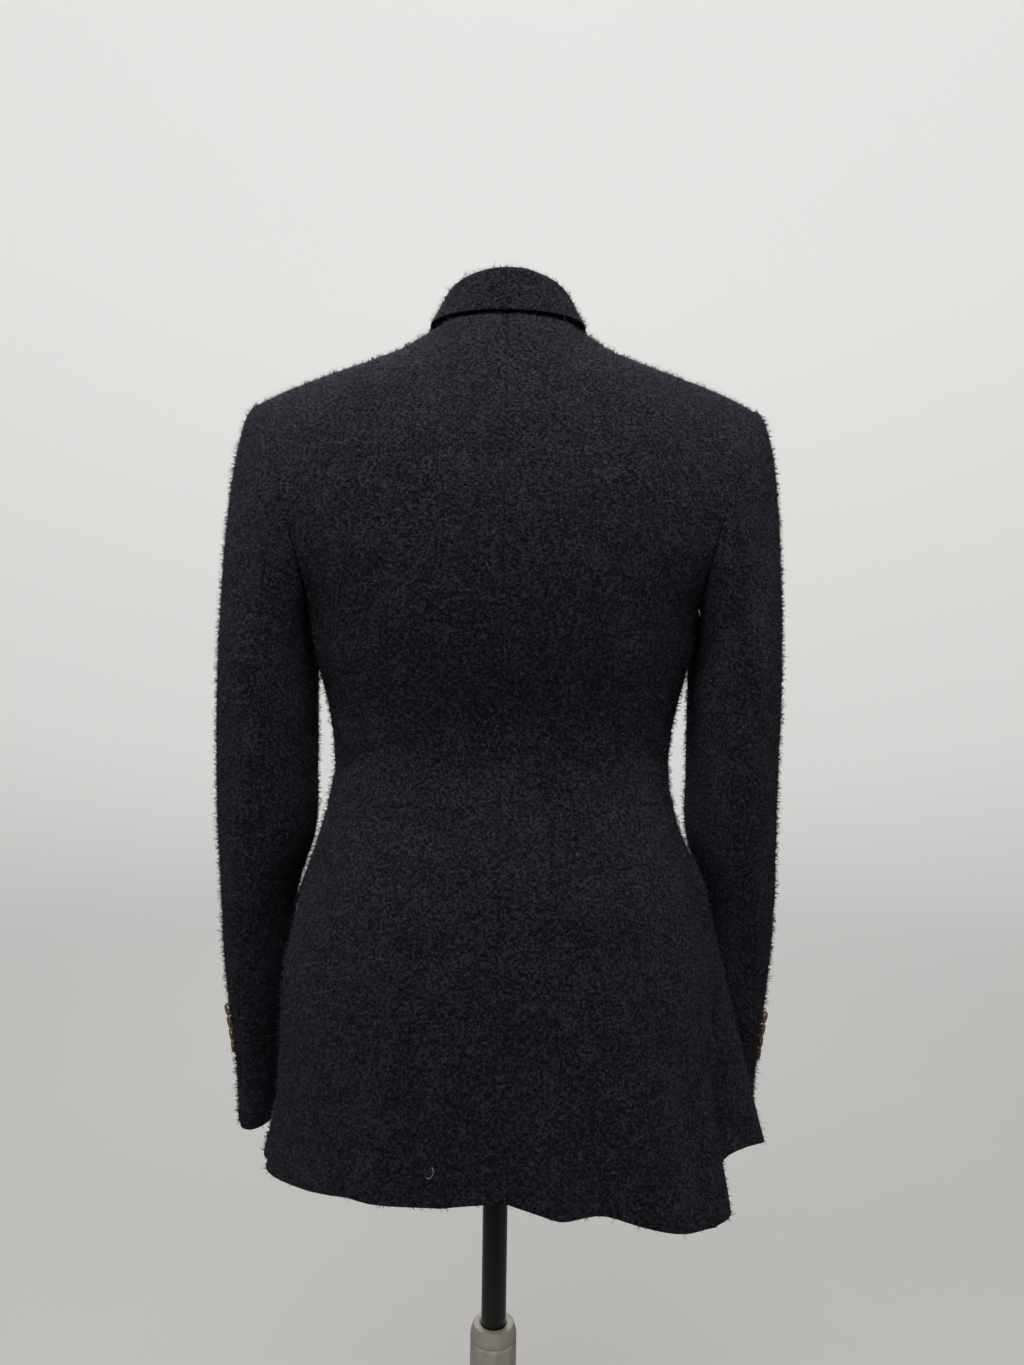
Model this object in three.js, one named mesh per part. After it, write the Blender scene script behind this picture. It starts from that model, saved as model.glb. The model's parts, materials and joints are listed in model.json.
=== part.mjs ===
// A tailored boucle blazer worn by a limbless dress form on a pole stand.
// Millimetres, +Z up, floor at z = 0. The blazer's front faces -Y and its left side is +X.
// Every cloth piece is a thin wall: a grid of points on the cloth's outer face, the same grid
// moved in by the cloth's thickness, and a rim that joins the two.
import * as THREE from 'three';

// ---------------------------------------------------------------- driving dimensions
const CLOTH = 2.4;              // thickness of the boucle cloth
const SEAM = 0.3;               // gap between two pieces that are sewn together
const YOKE_Z = 1200;            // height where the body turns from trunk to yoke, at the underarm
const SHOULDER_LEVEL = 1400;    // level of the highest row, which lies along neck and shoulder seam
const HEM_ROW_Z = 760;          // the first row above the hem is level here
const TRUNK_ROWS = 16;          // rows from there to the underarm
const YOKE_ROWS = 8;            // rows from the underarm to the shoulder
const SECTION_POWER = 2.8;      // squareness of the body's horizontal sections
const BACK_SEAM = 74;           // degrees from centre back to the back-side seam
const FRONT_SEAM = 112;         // degrees from centre back to the front-side seam
const NECK_HALF = 61;           // half width of the neck hole at the shoulder seam
const NECK_BACK = 48;           // depth of the back neck behind the shoulder seam
const NECK_RISE = 1;            // how far centre back neck stands above the neck point
const NECK_FRONT = 62;          // depth of the front neck before the shoulder seam
const NECK_DROP = 43;           // how far centre front neck lies below the neck point
const SHOULDER_HALF = 213;      // half of the shoulder width
const SHOULDER_GAP = 0.4;       // each panel stops this far from the shoulder seam's line
const SHOULDER_SEAM_Y = 5;      // the shoulder seam lies a little behind the middle
const ARMHOLE_DIP = 13;         // drop of the armhole under the arm
const OVERLAP = 18;             // each front passes the centre by this much
const BREAK_Z = 1090;           // where the lapel starts to turn back
const CLOSURE_LIFT = 4.4;       // how far the right front lies outside the left one
const VENT_TOP = 845;           // top of the two side vents
const VENT_UNDERLAP = 9;        // degrees that the side panel runs on under the back panel
const VENT_INSET = 5.2;         // how far that underlap lies inside the back panel
const CUFF_SLIT_TOP = 845;      // top of the open slit at each cuff
const CUFF_SLIT_WIDTH = 4.5;    // its width at the hem of the sleeve
const BICEPS_Z = 1150;          // level where the sleeve head ends
const FRONT_HEM_Z = 732;
const CUTAWAY = 84;             // the fronts round away from the centre by this much at the hem
const CUTAWAY_TOP = 925;
const LAPEL_WIDTH = 84;
const LAPEL_LIFT = 4.4;         // outer face of the lapel above the front
const FLAP_TOP = 978;
const FLAP_DROP = 48;
const FLAP_FROM = 93;           // degrees from centre back to the flap's rear edge
const FLAP_TO = 127;
const FORM_POWER = 2.4;         // squareness of the form's sections
const POLE_RADIUS = 11;
const BORE_RADIUS = 11.6;
const TUBE_RADIUS = 14;
const TUBE_TOP = 540;
const POLE_FOOT = 300;          // the pole's lower end, inside the tube
const GRIP = { lobes: 8, radius: 20.5, depth: 1.2, bore: 14.3 };
const GRIP_FOOT = 496;
const GRIP_TOP = 552;
const CLAMP_TOP = 565;
const CLAMP_TOP_RADIUS = 18;
const BASE_RADIUS = 172;
const BASE_THICKNESS = 12;
const FORM_BOTTOM = 775;

// The body's horizontal sections. Above the underarm, half is the half width that the section
// would have without an armhole.
const BODY = [
  { z: 690, half: 208, back: 121, front: 133 },
  { z: 728, half: 200.5, back: 119, front: 131 },
  { z: 778, half: 189.5, back: 117, front: 128 },
  { z: 838, half: 187, back: 113, front: 124 },
  { z: 889, half: 184.6, back: 109, front: 121 },
  { z: 925, half: 177.3, back: 104, front: 118 },
  { z: 959, half: 169.5, back: 99, front: 115 },
  { z: 997, half: 158.5, back: 89, front: 110 },
  { z: 1025, half: 150.5, back: 80, front: 106 },
  { z: 1064, half: 145, back: 72, front: 104 },
  { z: 1098, half: 147.5, back: 74, front: 108 },
  { z: 1126, half: 153.5, back: 80, front: 114 },
  { z: 1154, half: 161, back: 88, front: 122 },
  { z: 1200, half: 172, back: 97, front: 131 },
  { z: 1250, half: 206, back: 101, front: 133 },
  { z: 1300, half: 234, back: 101, front: 127 },
  { z: 1350, half: 250, back: 99, front: 116 },
  { z: 1400, half: 256, back: 97, front: 108 },
];

// The shoulder seam from the neck point to the tip.
const SHOULDER = [
  { x: 40, z: 1449 },
  { x: 61, z: 1441 },
  { x: 70, z: 1436.5 },
  { x: 84, z: 1425 },
  { x: 100, z: 1415 },
  { x: 146, z: 1398 },
  { x: 183, z: 1384.5 },
  { x: 219, z: 1368 },
  { x: 240, z: 1355.5 },
];

// The back's hem from the right vent to the left one; it waves and hangs low at the right.
const BACK_HEM = [
  { x: -196, z: 690 },
  { x: -177, z: 700 },
  { x: -152, z: 714.5 },
  { x: -128, z: 725 },
  { x: -104, z: 724.5 },
  { x: -88, z: 723 },
  { x: -64, z: 727 },
  { x: -33, z: 732 },
  { x: -12, z: 735 },
  { x: 27, z: 732 },
  { x: 68, z: 729.5 },
  { x: 89, z: 730.5 },
  { x: 138, z: 732 },
  { x: 153, z: 734 },
  { x: 196, z: 726 },
];

// The side panels' hems by degrees from centre back.
const SIDE_HEM = [
  { deg: 74, right: 713, left: 729 },
  { deg: 79, right: 731, left: 730.5 },
  { deg: 85, right: 743.5, left: 731.5 },
  { deg: 90, right: 743, left: 732 },
  { deg: 112, right: 733, left: 733 },
];

// The sleeve below its head: outer side of the left and the right one, inner side, middle front
// to back, half depth.
const SLEEVE = [
  { z: 1180, left: 243.5, right: 239, inner: 164, y: 0, depth: 73 },
  { z: 1150, left: 245.5, right: 240.5, inner: 164.5, y: -2, depth: 71 },
  { z: 1060, left: 249, right: 241.5, inner: 165, y: -8, depth: 66 },
  { z: 1000, left: 249.5, right: 243, inner: 167, y: -14, depth: 62 },
  { z: 940, left: 247.5, right: 244, inner: 185, y: -22, depth: 59 },
  { z: 870, left: 247, right: 242.5, inner: 191, y: -36, depth: 57 },
  { z: 815, left: 242.5, right: 239, inner: 197, y: -48, depth: 55 },
  { z: 768, left: 240, right: 236.5, inner: 200, y: -55, depth: 53 },
  { z: 730, left: 240, right: 236.5, inner: 203, y: -60, depth: 52 },
];

// Where the sleeve's two seams run, as angles round the sleeve: 0 outside, 90 behind.
const SLEEVE_SEAMS = [
  { z: 1300, hind: 108, fore: 250 },
  { z: 1100, hind: 95, fore: 250 },
  { z: 910, hind: 86, fore: 250 },
  { z: 845, hind: 78, fore: 248 },
  { z: 768, hind: 60, fore: 246 },
  { z: 730, hind: 52, fore: 245 },
];

// Soft upright folds of the skirt: place, reach, depth outwards and half width in degrees.
const SKIRT_FOLDS = [
  { side: -1, deg: 63, depth: -2.5, width: 5, top: 900 },
  { side: -1, deg: 52, depth: 4.5, width: 8, top: 880 },
  { side: -1, deg: 24, depth: 3.5, width: 10, top: 840 },
  { side: 1, deg: 12, depth: -3, width: 9, top: 830 },
  { side: 1, deg: 40, depth: 3.5, width: 11, top: 850 },
  { side: 1, deg: 62, depth: -3, width: 7, top: 840 },
];

// The dress form's horizontal sections.
const FORM = [
  { z: 775, half: 148, back: 86, front: 94 },
  { z: 850, half: 158, back: 96, front: 102 },
  { z: 930, half: 154, back: 90, front: 98 },
  { z: 1000, half: 138, back: 75, front: 90 },
  { z: 1065, half: 129, back: 60, front: 86 },
  { z: 1125, half: 134, back: 66, front: 94 },
  { z: 1200, half: 150, back: 84, front: 112 },
  { z: 1260, half: 156, back: 90, front: 112 },
  { z: 1320, half: 156, back: 84, front: 98 },
  { z: 1365, half: 150, back: 66, front: 70 },
  { z: 1387, half: 138, back: 50, front: 48 },
  { z: 1402.6, half: 114, back: 40, front: 34 },
  { z: 1413.6, half: 89, back: 35, front: 24 },
  { z: 1421, half: 56, back: 36, front: 25 },
  { z: 1434, half: 45, back: 38, front: 33 },
  { z: 1462, half: 41, back: 38, front: 35 },
];

// ---------------------------------------------------------------- colours
const CLOTH_COLOUR = { color: 0x23232b, roughness: 0.97, metalness: 0 };
const FORM_COLOUR = { color: 0x141415, roughness: 0.5, metalness: 0 };
const BUTTON_COLOUR = { color: 0xb08d57, roughness: 0.35, metalness: 0.9 };
const PLASTIC_COLOUR = { color: 0xd9d6cd, roughness: 0.5, metalness: 0 };
const STEEL_COLOUR = { color: 0x101011, roughness: 0.3, metalness: 0.4 };

// ---------------------------------------------------------------- small helpers
const { sin, cos, abs, min, max, atan2, PI } = Math;
const rad = (deg) => (deg * PI) / 180;
const lerp = THREE.MathUtils.lerp;
const clamp01 = (value) => THREE.MathUtils.clamp(value, 0, 1);
const ramp = (value, from, to) => {
  const t = clamp01((value - from) / (to - from));
  return t * t * (3 - 2 * t);
};

// A smooth value between a table's rows; key names the column that orders them.
function read(table, key, column, at) {
  let i = table.findIndex((row) => row[key] > at);
  if (i < 0) i = table.length - 1;
  i = max(i, 1);
  const [a, b] = [table[i - 1], table[i]];
  const [before, after] = [table[i - 2] ?? a, table[i + 1] ?? b];
  const span = b[key] - a[key];
  const t = clamp01((at - a[key]) / span);
  const slopeA = ((b[column] - before[column]) / (b[key] - before[key])) * span;
  const slopeB = ((after[column] - a[column]) / (after[key] - a[key])) * span;
  const t2 = t * t;
  const t3 = t2 * t;
  return (2 * t3 - 3 * t2 + 1) * a[column] + (t3 - 2 * t2 + t) * slopeA
    + (3 * t2 - 2 * t3) * b[column] + (t3 - t2) * slopeB;
}
const SLEEVE_UP = [...SLEEVE].reverse();
const SEAMS_UP = [...SLEEVE_SEAMS].reverse();

// A point of a rounded-square section at a true angle from centre back.
function sectionPoint(table, angle, z) {
  const half = read(table, 'z', 'half', z);
  const depth = read(table, 'z', cos(angle) > 0 ? 'back' : 'front', z);
  const n = SECTION_POWER;
  const r = (abs(sin(angle) / half) ** n + abs(cos(angle) / depth) ** n) ** (-1 / n);
  return { x: r * sin(angle), y: r * cos(angle), r };
}

// ---------------------------------------------------------------- the body's surface
const EDGE_X = {
  back: sectionPoint(BODY, rad(BACK_SEAM), YOKE_Z).x,
  front: sectionPoint(BODY, rad(FRONT_SEAM), YOKE_Z).x,
};
const EDGE_CURVE = { back: 1.45, front: 2.1 };   // the front armhole is cut in deeper

// Half width at the armhole edge, for a share t of the way from underarm to shoulder.
const edgeHalf = (part, t) => lerp(EDGE_X[part], SHOULDER_HALF, t ** EDGE_CURVE[part]);

// The highest row: neck hole inside the neck point, shoulder seam outside it.
function topEdge(part, x) {
  const u = min(abs(x) / NECK_HALF, 1);
  const bow = Math.sqrt(1 - u * u);
  const neckPoint = read(SHOULDER, 'x', 'z', NECK_HALF);
  const seamSide = part === 'back' ? SHOULDER_GAP : -SHOULDER_GAP;
  if (abs(x) >= NECK_HALF) {
    return { y: SHOULDER_SEAM_Y + seamSide, z: read(SHOULDER, 'x', 'z', abs(x)) };
  }
  if (part === 'back') {
    return { y: SHOULDER_SEAM_Y + seamSide + NECK_BACK * bow, z: neckPoint + NECK_RISE * bow * bow };
  }
  return { y: SHOULDER_SEAM_Y + seamSide - NECK_FRONT * bow, z: neckPoint - NECK_DROP * bow * bow };
}

// Depth of the body at x for a yoke level.
function levelDepth(part, x, level) {
  const half = read(BODY, 'z', 'half', level);
  const depth = read(BODY, 'z', part, level);
  const n = SECTION_POWER;
  const y = depth * max(1 - min(abs(x) / half, 1) ** n, 0) ** (1 / n);
  return part === 'back' ? y : -y;
}

// A point of the body for an angle from centre back and a level. Below the underarm the level
// is a height. Above it, rows lean towards neck and shoulder. squeeze narrows the yoke's span.
function bodyPoint(side, part, angle, level, squeeze = 1) {
  if (level <= YOKE_Z || part === 'side') {
    const p = sectionPoint(BODY, angle, level);
    const out = skirtShape(side, part, (angle * 180) / PI, level);
    return new THREE.Vector3(side * (p.x + out * sin(angle)), p.y + out * cos(angle), level);
  }
  const t = min((level - YOKE_Z) / (SHOULDER_LEVEL - YOKE_Z), 1);
  const share = 1 + (sectionPoint(BODY, angle, YOKE_Z).x / EDGE_X[part] - 1) * squeeze;
  return yokePoint(side, part, share, t);
}

// A yoke point by its share of the way from centre to armhole, and from underarm to shoulder.
function yokePoint(side, part, share, t) {
  const x = share * edgeHalf(part, t);
  const top = topEdge(part, share * SHOULDER_HALF);
  const shoulder = ramp(abs(share) * SHOULDER_HALF, 20, 110);
  const fall = (1 - t ** 3) ** lerp(1, 0.42, shoulder);
  const y = top.y + (levelDepth(part, x, lerp(YOKE_Z, SHOULDER_LEVEL, t)) - top.y) * fall;
  return new THREE.Vector3(side * x, y, lerp(YOKE_Z, top.z, t));
}

// How far the skirt stands out from its plain section: soft folds, and at the right the side
// panel that swings out behind the sleeve.
function skirtShape(side, part, deg, z) {
  let out = 0;
  for (const fold of SKIRT_FOLDS) {
    if (fold.side !== side) continue;
    const across = (deg - fold.deg) / fold.width;
    out += fold.depth * Math.exp(-across * across) * ramp(z, fold.top, 735);
  }
  if (side < 0 && part !== 'back') {
    const reach = 9 * ramp(z, 1015, 960) + 26 * ramp(z, 915, 750);
    const window = ramp(deg, 76.5, 83) * ramp(deg, 91, 83);
    out += reach * window;
  }
  return out;
}

// ---------------------------------------------------------------- walls of cloth
const STEP = 1e-3;

// The outward normal of a surface pointAt(a, b); turn is -1 on the mirrored side.
function outward(pointAt, a, b, turn) {
  const [a0, a1] = [max(a - STEP, 0), min(a + STEP, 1)];
  const [b0, b1] = [max(b - STEP, 0), min(b + STEP, 1)];
  const across = pointAt(a1, b).sub(pointAt(a0, b));
  const along = pointAt(a, b1).sub(pointAt(a, b0));
  return along.cross(across).multiplyScalar(turn).normalize();
}

// A closed wall from its outer face, with thickness going inwards.
function wall(pointAt, columns, rows, turn, thickness = CLOTH) {
  const points = [];
  const grid = (depth) => {
    for (let j = 0; j <= rows; j += 1) {
      for (let i = 0; i <= columns; i += 1) {
        const [a, b] = [i / columns, j / rows];
        const p = pointAt(a, b);
        points.push(p.addScaledVector(outward(pointAt, a, b, turn), -depth));
      }
    }
  };
  grid(0);
  grid(thickness);
  const layer = (columns + 1) * (rows + 1);
  const at = (i, j, inner) => j * (columns + 1) + i + (inner ? layer : 0);
  const faces = [];
  const quad = (a, b, c, d) => faces.push(a, b, c, a, c, d);
  for (let j = 0; j < rows; j += 1) {
    for (let i = 0; i < columns; i += 1) {
      quad(at(i, j), at(i, j + 1), at(i + 1, j + 1), at(i + 1, j));
      quad(at(i, j, 1), at(i + 1, j, 1), at(i + 1, j + 1, 1), at(i, j + 1, 1));
    }
  }
  for (let i = 0; i < columns; i += 1) {
    quad(at(i, 0), at(i + 1, 0), at(i + 1, 0, 1), at(i, 0, 1));
    quad(at(i, rows), at(i, rows, 1), at(i + 1, rows, 1), at(i + 1, rows));
  }
  for (let j = 0; j < rows; j += 1) {
    quad(at(0, j), at(0, j, 1), at(0, j + 1, 1), at(0, j + 1));
    quad(at(columns, j), at(columns, j + 1), at(columns, j + 1, 1), at(columns, j, 1));
  }
  if (turn < 0) faces.reverse();
  const geometry = new THREE.BufferGeometry();
  geometry.setAttribute('position', new THREE.Float32BufferAttribute(points.flatMap((p) => [p.x, p.y, p.z]), 3));
  geometry.setIndex(faces);
  geometry.computeVertexNormals();
  return geometry;
}

// Moves a surface's points outwards by lift(a, b).
const lifted = (pointAt, lift, turn) => (a, b) =>
  pointAt(a, b).addScaledVector(outward(pointAt, a, b, turn), lift(a, b));

// ---------------------------------------------------------------- body panels
// Neighbouring panels share their rows: one from the hem up to a level line, then even ones.
function bodyLevel(b, rows, hem) {
  const row = b * rows;
  if (row < 1) return lerp(hem, HEM_ROW_Z, row);
  const trunk = HEM_ROW_Z + ((row - 1) * (YOKE_Z - HEM_ROW_Z)) / TRUNK_ROWS;
  const above = row - 1 - TRUNK_ROWS;
  return above <= 0 ? trunk : YOKE_Z + (above * (SHOULDER_LEVEL - YOKE_Z)) / YOKE_ROWS;
}
const SIDE_ROWS = 1 + TRUNK_ROWS;
const PANEL_ROWS = SIDE_ROWS + YOKE_ROWS;

const seamAngle = (deg, z) => SEAM / sectionPoint(BODY, rad(deg), min(z, YOKE_Z)).r;

function backPoint(side, a, b) {
  const guess = side * EDGE_X.back * 1.12 * sin(a * rad(90));
  const hem = read(BACK_HEM, 'x', 'z', guess);
  const level = bodyLevel(b, PANEL_ROWS, hem);
  const last = rad(BACK_SEAM) - seamAngle(BACK_SEAM, level) / 2;
  const p = bodyPoint(side, 'back', a * last, level);
  p.x += side * (SEAM / 2) * (1 - a);
  if (level > YOKE_Z) p.x -= side * SEAM * a;
  return p;
}

// Columns of the side panel, in degrees past the back-side seam: close where it swings out.
const SIDE_COLUMNS = [0, 2, 6, 10, 15, 22, 30, 38];
function sidePoint(side, a, b) {
  const hem = read(SIDE_HEM, 'deg', side < 0 ? 'right' : 'left', lerp(BACK_SEAM, FRONT_SEAM, a));
  const lastRow = clamp01(b * SIDE_ROWS - TRUNK_ROWS);
  const level = bodyLevel(b, SIDE_ROWS, hem) - lastRow * (SEAM + ARMHOLE_DIP * sin(a * PI));
  const gap = (seamAngle(BACK_SEAM, level) * 180) / PI / 2;
  const tuck = VENT_UNDERLAP * ramp(level, VENT_TOP, VENT_TOP - 30);
  const clear = 0.35 * ramp(level, VENT_TOP + 60, VENT_TOP + 25);
  const first = gap + clear - tuck;
  const column = a * (SIDE_COLUMNS.length - 1);
  const i = min(Math.floor(column), SIDE_COLUMNS.length - 2);
  const [from, to] = [i === 0 ? first : SIDE_COLUMNS[i], SIDE_COLUMNS[i + 1]];
  const deg = BACK_SEAM + min(lerp(from, to, column - i), FRONT_SEAM - BACK_SEAM - gap);
  const p = bodyPoint(side, 'side', rad(deg), level);
  const inset = VENT_INSET * ramp(level, VENT_TOP + 25, VENT_TOP) * ramp(deg, BACK_SEAM + 5, BACK_SEAM);
  const r = Math.hypot(p.x, p.y);
  p.x *= (r - inset) / r;
  p.y *= (r - inset) / r;
  return p;
}

// Half width of the front's free edge, measured past the centre as a negative number.
function frontEdgeX(level) {
  const cutaway = CUTAWAY * clamp01((CUTAWAY_TOP - level) / (CUTAWAY_TOP - FRONT_HEM_Z)) ** 2;
  const lapel = (NECK_HALF + OVERLAP) * clamp01((level - BREAK_Z) / (SHOULDER_LEVEL - BREAK_Z));
  return -OVERLAP + cutaway + lapel;
}

function frontPoint(side, a, b) {
  const level = bodyLevel(b, PANEL_ROWS, FRONT_HEM_Z);
  const trunkLevel = min(level, YOKE_Z);
  const first = rad(FRONT_SEAM) + seamAngle(FRONT_SEAM, level) / 2;
  const edgeAngle = (z) => PI - atan2(frontEdgeX(z), read(BODY, 'z', 'front', z));
  const angle = lerp(first, edgeAngle(trunkLevel), a);
  const t = clamp01((level - YOKE_Z) / (SHOULDER_LEVEL - YOKE_Z));
  const edgeShare = frontEdgeX(level) / edgeHalf('front', t);
  const startShare = sectionPoint(BODY, edgeAngle(YOKE_Z), YOKE_Z).x / EDGE_X.front;
  const squeeze = level > YOKE_Z ? (1 - edgeShare) / (1 - startShare) : 1;
  const p = bodyPoint(side, 'front', angle, level, squeeze);
  if (level > YOKE_Z) p.x -= side * SEAM * (1 - a);
  p.y -= closureOut(side, p.x, level);
  return p;
}

// The right front lies over the left one along the closure.
function closureOut(side, x, level) {
  return side < 0 ? CLOSURE_LIFT * ramp(x, -66, -24) * ramp(level, 1210, 1165) : 0;
}

// ---------------------------------------------------------------- sleeves
// The armhole, for an angle from the shoulder tip backwards: 180 is under the arm.
const UNDERARM_FROM = 150;
const UNDERARM_TO = 210;
function armhole(side, deg) {
  if (deg <= UNDERARM_FROM || deg >= UNDERARM_TO) {
    const part = deg <= UNDERARM_FROM ? 'back' : 'front';
    const share = part === 'back' ? deg / UNDERARM_FROM : (360 - deg) / (360 - UNDERARM_TO);
    const t = cos(rad(90) * share) ** 0.9;
    const seam = rad(part === 'back' ? BACK_SEAM : FRONT_SEAM);
    return bodyPoint(side, part, seam, lerp(YOKE_Z + 0.01, SHOULDER_LEVEL, max(t, 0)));
  }
  const a = (deg - UNDERARM_FROM) / (UNDERARM_TO - UNDERARM_FROM);
  const angle = rad(lerp(BACK_SEAM, FRONT_SEAM, a));
  const p = sectionPoint(BODY, angle, YOKE_Z);
  return new THREE.Vector3(side * p.x, p.y, YOKE_Z - ARMHOLE_DIP * sin(a * PI));
}

function sleeveRing(side, deg, z) {
  const outer = read(SLEEVE_UP, 'z', side < 0 ? 'right' : 'left', z);
  const inner = read(SLEEVE_UP, 'z', 'inner', z);
  const x = (outer + inner) / 2 + ((outer - inner) / 2) * cos(rad(deg));
  const y = read(SLEEVE_UP, 'z', 'y', z) + read(SLEEVE_UP, 'z', 'depth', z) * sin(rad(deg));
  return new THREE.Vector3(side * x, y, z);
}

// A point of the sleeve: deg round it, b from armhole (0) to cuff (1).
const HEAD_SHARE = 0.36;
const CUFF_Z = 730;
function sleevePoint(side, deg, b) {
  if (b >= HEAD_SHARE) {
    return sleeveRing(side, deg, lerp(BICEPS_Z, CUFF_Z, (b - HEAD_SHARE) / (1 - HEAD_SHARE)));
  }
  const start = armhole(side, deg);
  const end = sleeveRing(side, deg, BICEPS_Z);
  const under = (1 - cos(rad(deg))) / 2;
  const slope = rad(lerp(12, 80, under ** 0.8));
  const length = start.distanceTo(end);
  const leave = new THREE.Vector3(side * cos(slope), 0, -sin(slope)).multiplyScalar(length * lerp(0.32, 0.45, under));
  const arrive = new THREE.Vector3(0, 0, -length * 0.8);
  const t = b / HEAD_SHARE;
  const t2 = t * t;
  const t3 = t2 * t;
  return start.multiplyScalar(2 * t3 - 3 * t2 + 1)
    .addScaledVector(leave, t3 - 2 * t2 + t)
    .addScaledVector(end, 3 * t2 - 2 * t3)
    .addScaledVector(arrive, t3 - t2);
}

// The level of a sleeve row, which places the seams.
const rowLevel = (b) => (b < HEAD_SHARE ? lerp(1300, BICEPS_Z, b / HEAD_SHARE)
  : lerp(BICEPS_Z, CUFF_Z, (b - HEAD_SHARE) / (1 - HEAD_SHARE)));
const SLEEVE_GAP = (SEAM / 2 / 45) * (180 / PI);
function seamsAt(b) {
  const z = rowLevel(b);
  const slit = CUFF_SLIT_WIDTH * clamp01((CUFF_SLIT_TOP - z) / (CUFF_SLIT_TOP - CUFF_Z));
  return {
    hind: read(SEAMS_UP, 'z', 'hind', z),
    fore: read(SEAMS_UP, 'z', 'fore', z),
    gap: SLEEVE_GAP,
    slit: (slit / 2 / 42) * (180 / PI),
  };
}

function underSleevePoint(side, a, b) {
  const { hind, fore, gap, slit } = seamsAt(b);
  return sleevePoint(side, lerp(hind + gap + slit, fore - gap, a), b);
}

function upperSleevePoint(side, a, b) {
  const { hind, fore, gap, slit } = seamsAt(b);
  const deg = lerp(fore + gap, 360 + hind - gap - slit, a) % 360;
  return sleevePoint(side, deg, b);
}

// ---------------------------------------------------------------- collar, lapels, flaps
// The lapel lies on the front: a from its free edge to the break line, b from its foot up. The
// left one starts above the place where the right front crosses it.
const [GORGE_IN, GORGE_OUT] = [1377, 1335];
const LAPEL_FOOT = { left: 1172, right: 1114 };
function lapelPoint(side, a, b) {
  const foot = side < 0 ? LAPEL_FOOT.right : LAPEL_FOOT.left;
  const out = 1 - a;
  const level = lerp(foot, lerp(GORGE_IN, GORGE_OUT, out), b);
  const spread = clamp01((level - BREAK_Z) / (GORGE_IN - BREAK_Z)) ** 0.8;
  const x = frontEdgeX(level) + 3 + out * LAPEL_WIDTH * spread;
  const t = (level - YOKE_Z) / (SHOULDER_LEVEL - YOKE_Z);
  if (t > 0) return yokePoint(side, 'front', x / edgeHalf('front', t), t);
  const p = bodyPoint(side, 'front', PI - atan2(x, read(BODY, 'z', 'front', level)), level);
  p.y -= closureOut(side, p.x, level);
  return p;
}

// The lapel stands off a little more where it rolls at the neck.
const lapelLift = (a, b) => LAPEL_LIFT + 2.6 * ramp(b, 0.7, 1) * ramp(a, 0.4, 1);

// The collar is one folded strip: q runs round the neck from right gorge (-1) over centre back
// (0) to left gorge (1), and b from the neck seam up the stand, over the fold, down the fall.
const NECK_SHARE = 0.55;        // share of the strip's half that runs along the back neck
const GORGE_LEVEL = 1381;
const FOLD_RADIUS = 3.4;
function collarGuides(q) {
  const side = q < 0 ? -1 : 1;
  const u = abs(q);
  if (u <= NECK_SHARE) {
    const turn = rad(90) * (u / NECK_SHARE);
    const radial = new THREE.Vector3(side * sin(turn), cos(turn), 0);
    const x = NECK_HALF * sin(turn);
    const top = topEdge('back', x);
    const seam = new THREE.Vector3(side * x, top.y, top.z + 0.9).addScaledVector(radial, -1.7);
    const fold = seam.clone().addScaledVector(radial, -lerp(4, 12, u / NECK_SHARE));
    fold.z += lerp(27, 14.5, u / NECK_SHARE);
    const fall = seam.clone().addScaledVector(radial, lerp(4.5, 6, u / NECK_SHARE));
    fall.z += lerp(-3.6, -2, u / NECK_SHARE);
    return { seam, fold, fall };
  }
  const w = (u - NECK_SHARE) / (1 - NECK_SHARE);
  const soft = ramp(w, 0, 0.6);
  const level = lerp(SHOULDER_LEVEL, GORGE_LEVEL, w);
  const t = (level - YOKE_Z) / (SHOULDER_LEVEL - YOKE_Z);
  const edge = frontEdgeX(level);
  const seam = yokePoint(side, 'front', edge / edgeHalf('front', t), t);
  seam.x -= side * lerp(1.7, 0.5, soft);
  seam.z += lerp(1.4, 1, soft);
  seam.addScaledVector(FRONT_UP, 0.9 * soft);
  const fold = seam.clone();
  fold.x -= side * lerp(12, 1, soft);
  fold.addScaledVector(FRONT_UP, lerp(15, 5, soft));
  fold.z += 0.2 * (1 - soft);
  const fallT = t - 0.11 * w;
  const fallX = (edge + lerp(4.5, 44, w)) / edgeHalf('front', fallT);
  const fall = yokePoint(side, 'front', fallX, fallT).addScaledVector(FRONT_UP, lerp(2.8, 4.6, soft));
  return { seam, fold, fall };
}
const FRONT_UP = new THREE.Vector3(0, -0.35, 0.94).normalize();

function collarPoint(a, b) {
  const { seam, fold, fall } = collarGuides(2 * a - 1);
  const [standShare, fallShare] = [0.36, 0.62];
  if (b < standShare) return seam.lerp(fold, b / standShare);
  const over = fall.clone().sub(seam);
  const up = fold.clone().sub(seam).normalize();
  over.addScaledVector(up, -over.dot(up)).normalize();
  const arc = clamp01((b - standShare) / (fallShare - standShare)) * PI;
  const onArc = fold.addScaledVector(over, FOLD_RADIUS * (1 - cos(arc)))
    .addScaledVector(up, FOLD_RADIUS * sin(arc));
  return b <= fallShare ? onArc : onArc.lerp(fall, (b - fallShare) / (1 - fallShare));
}

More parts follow.
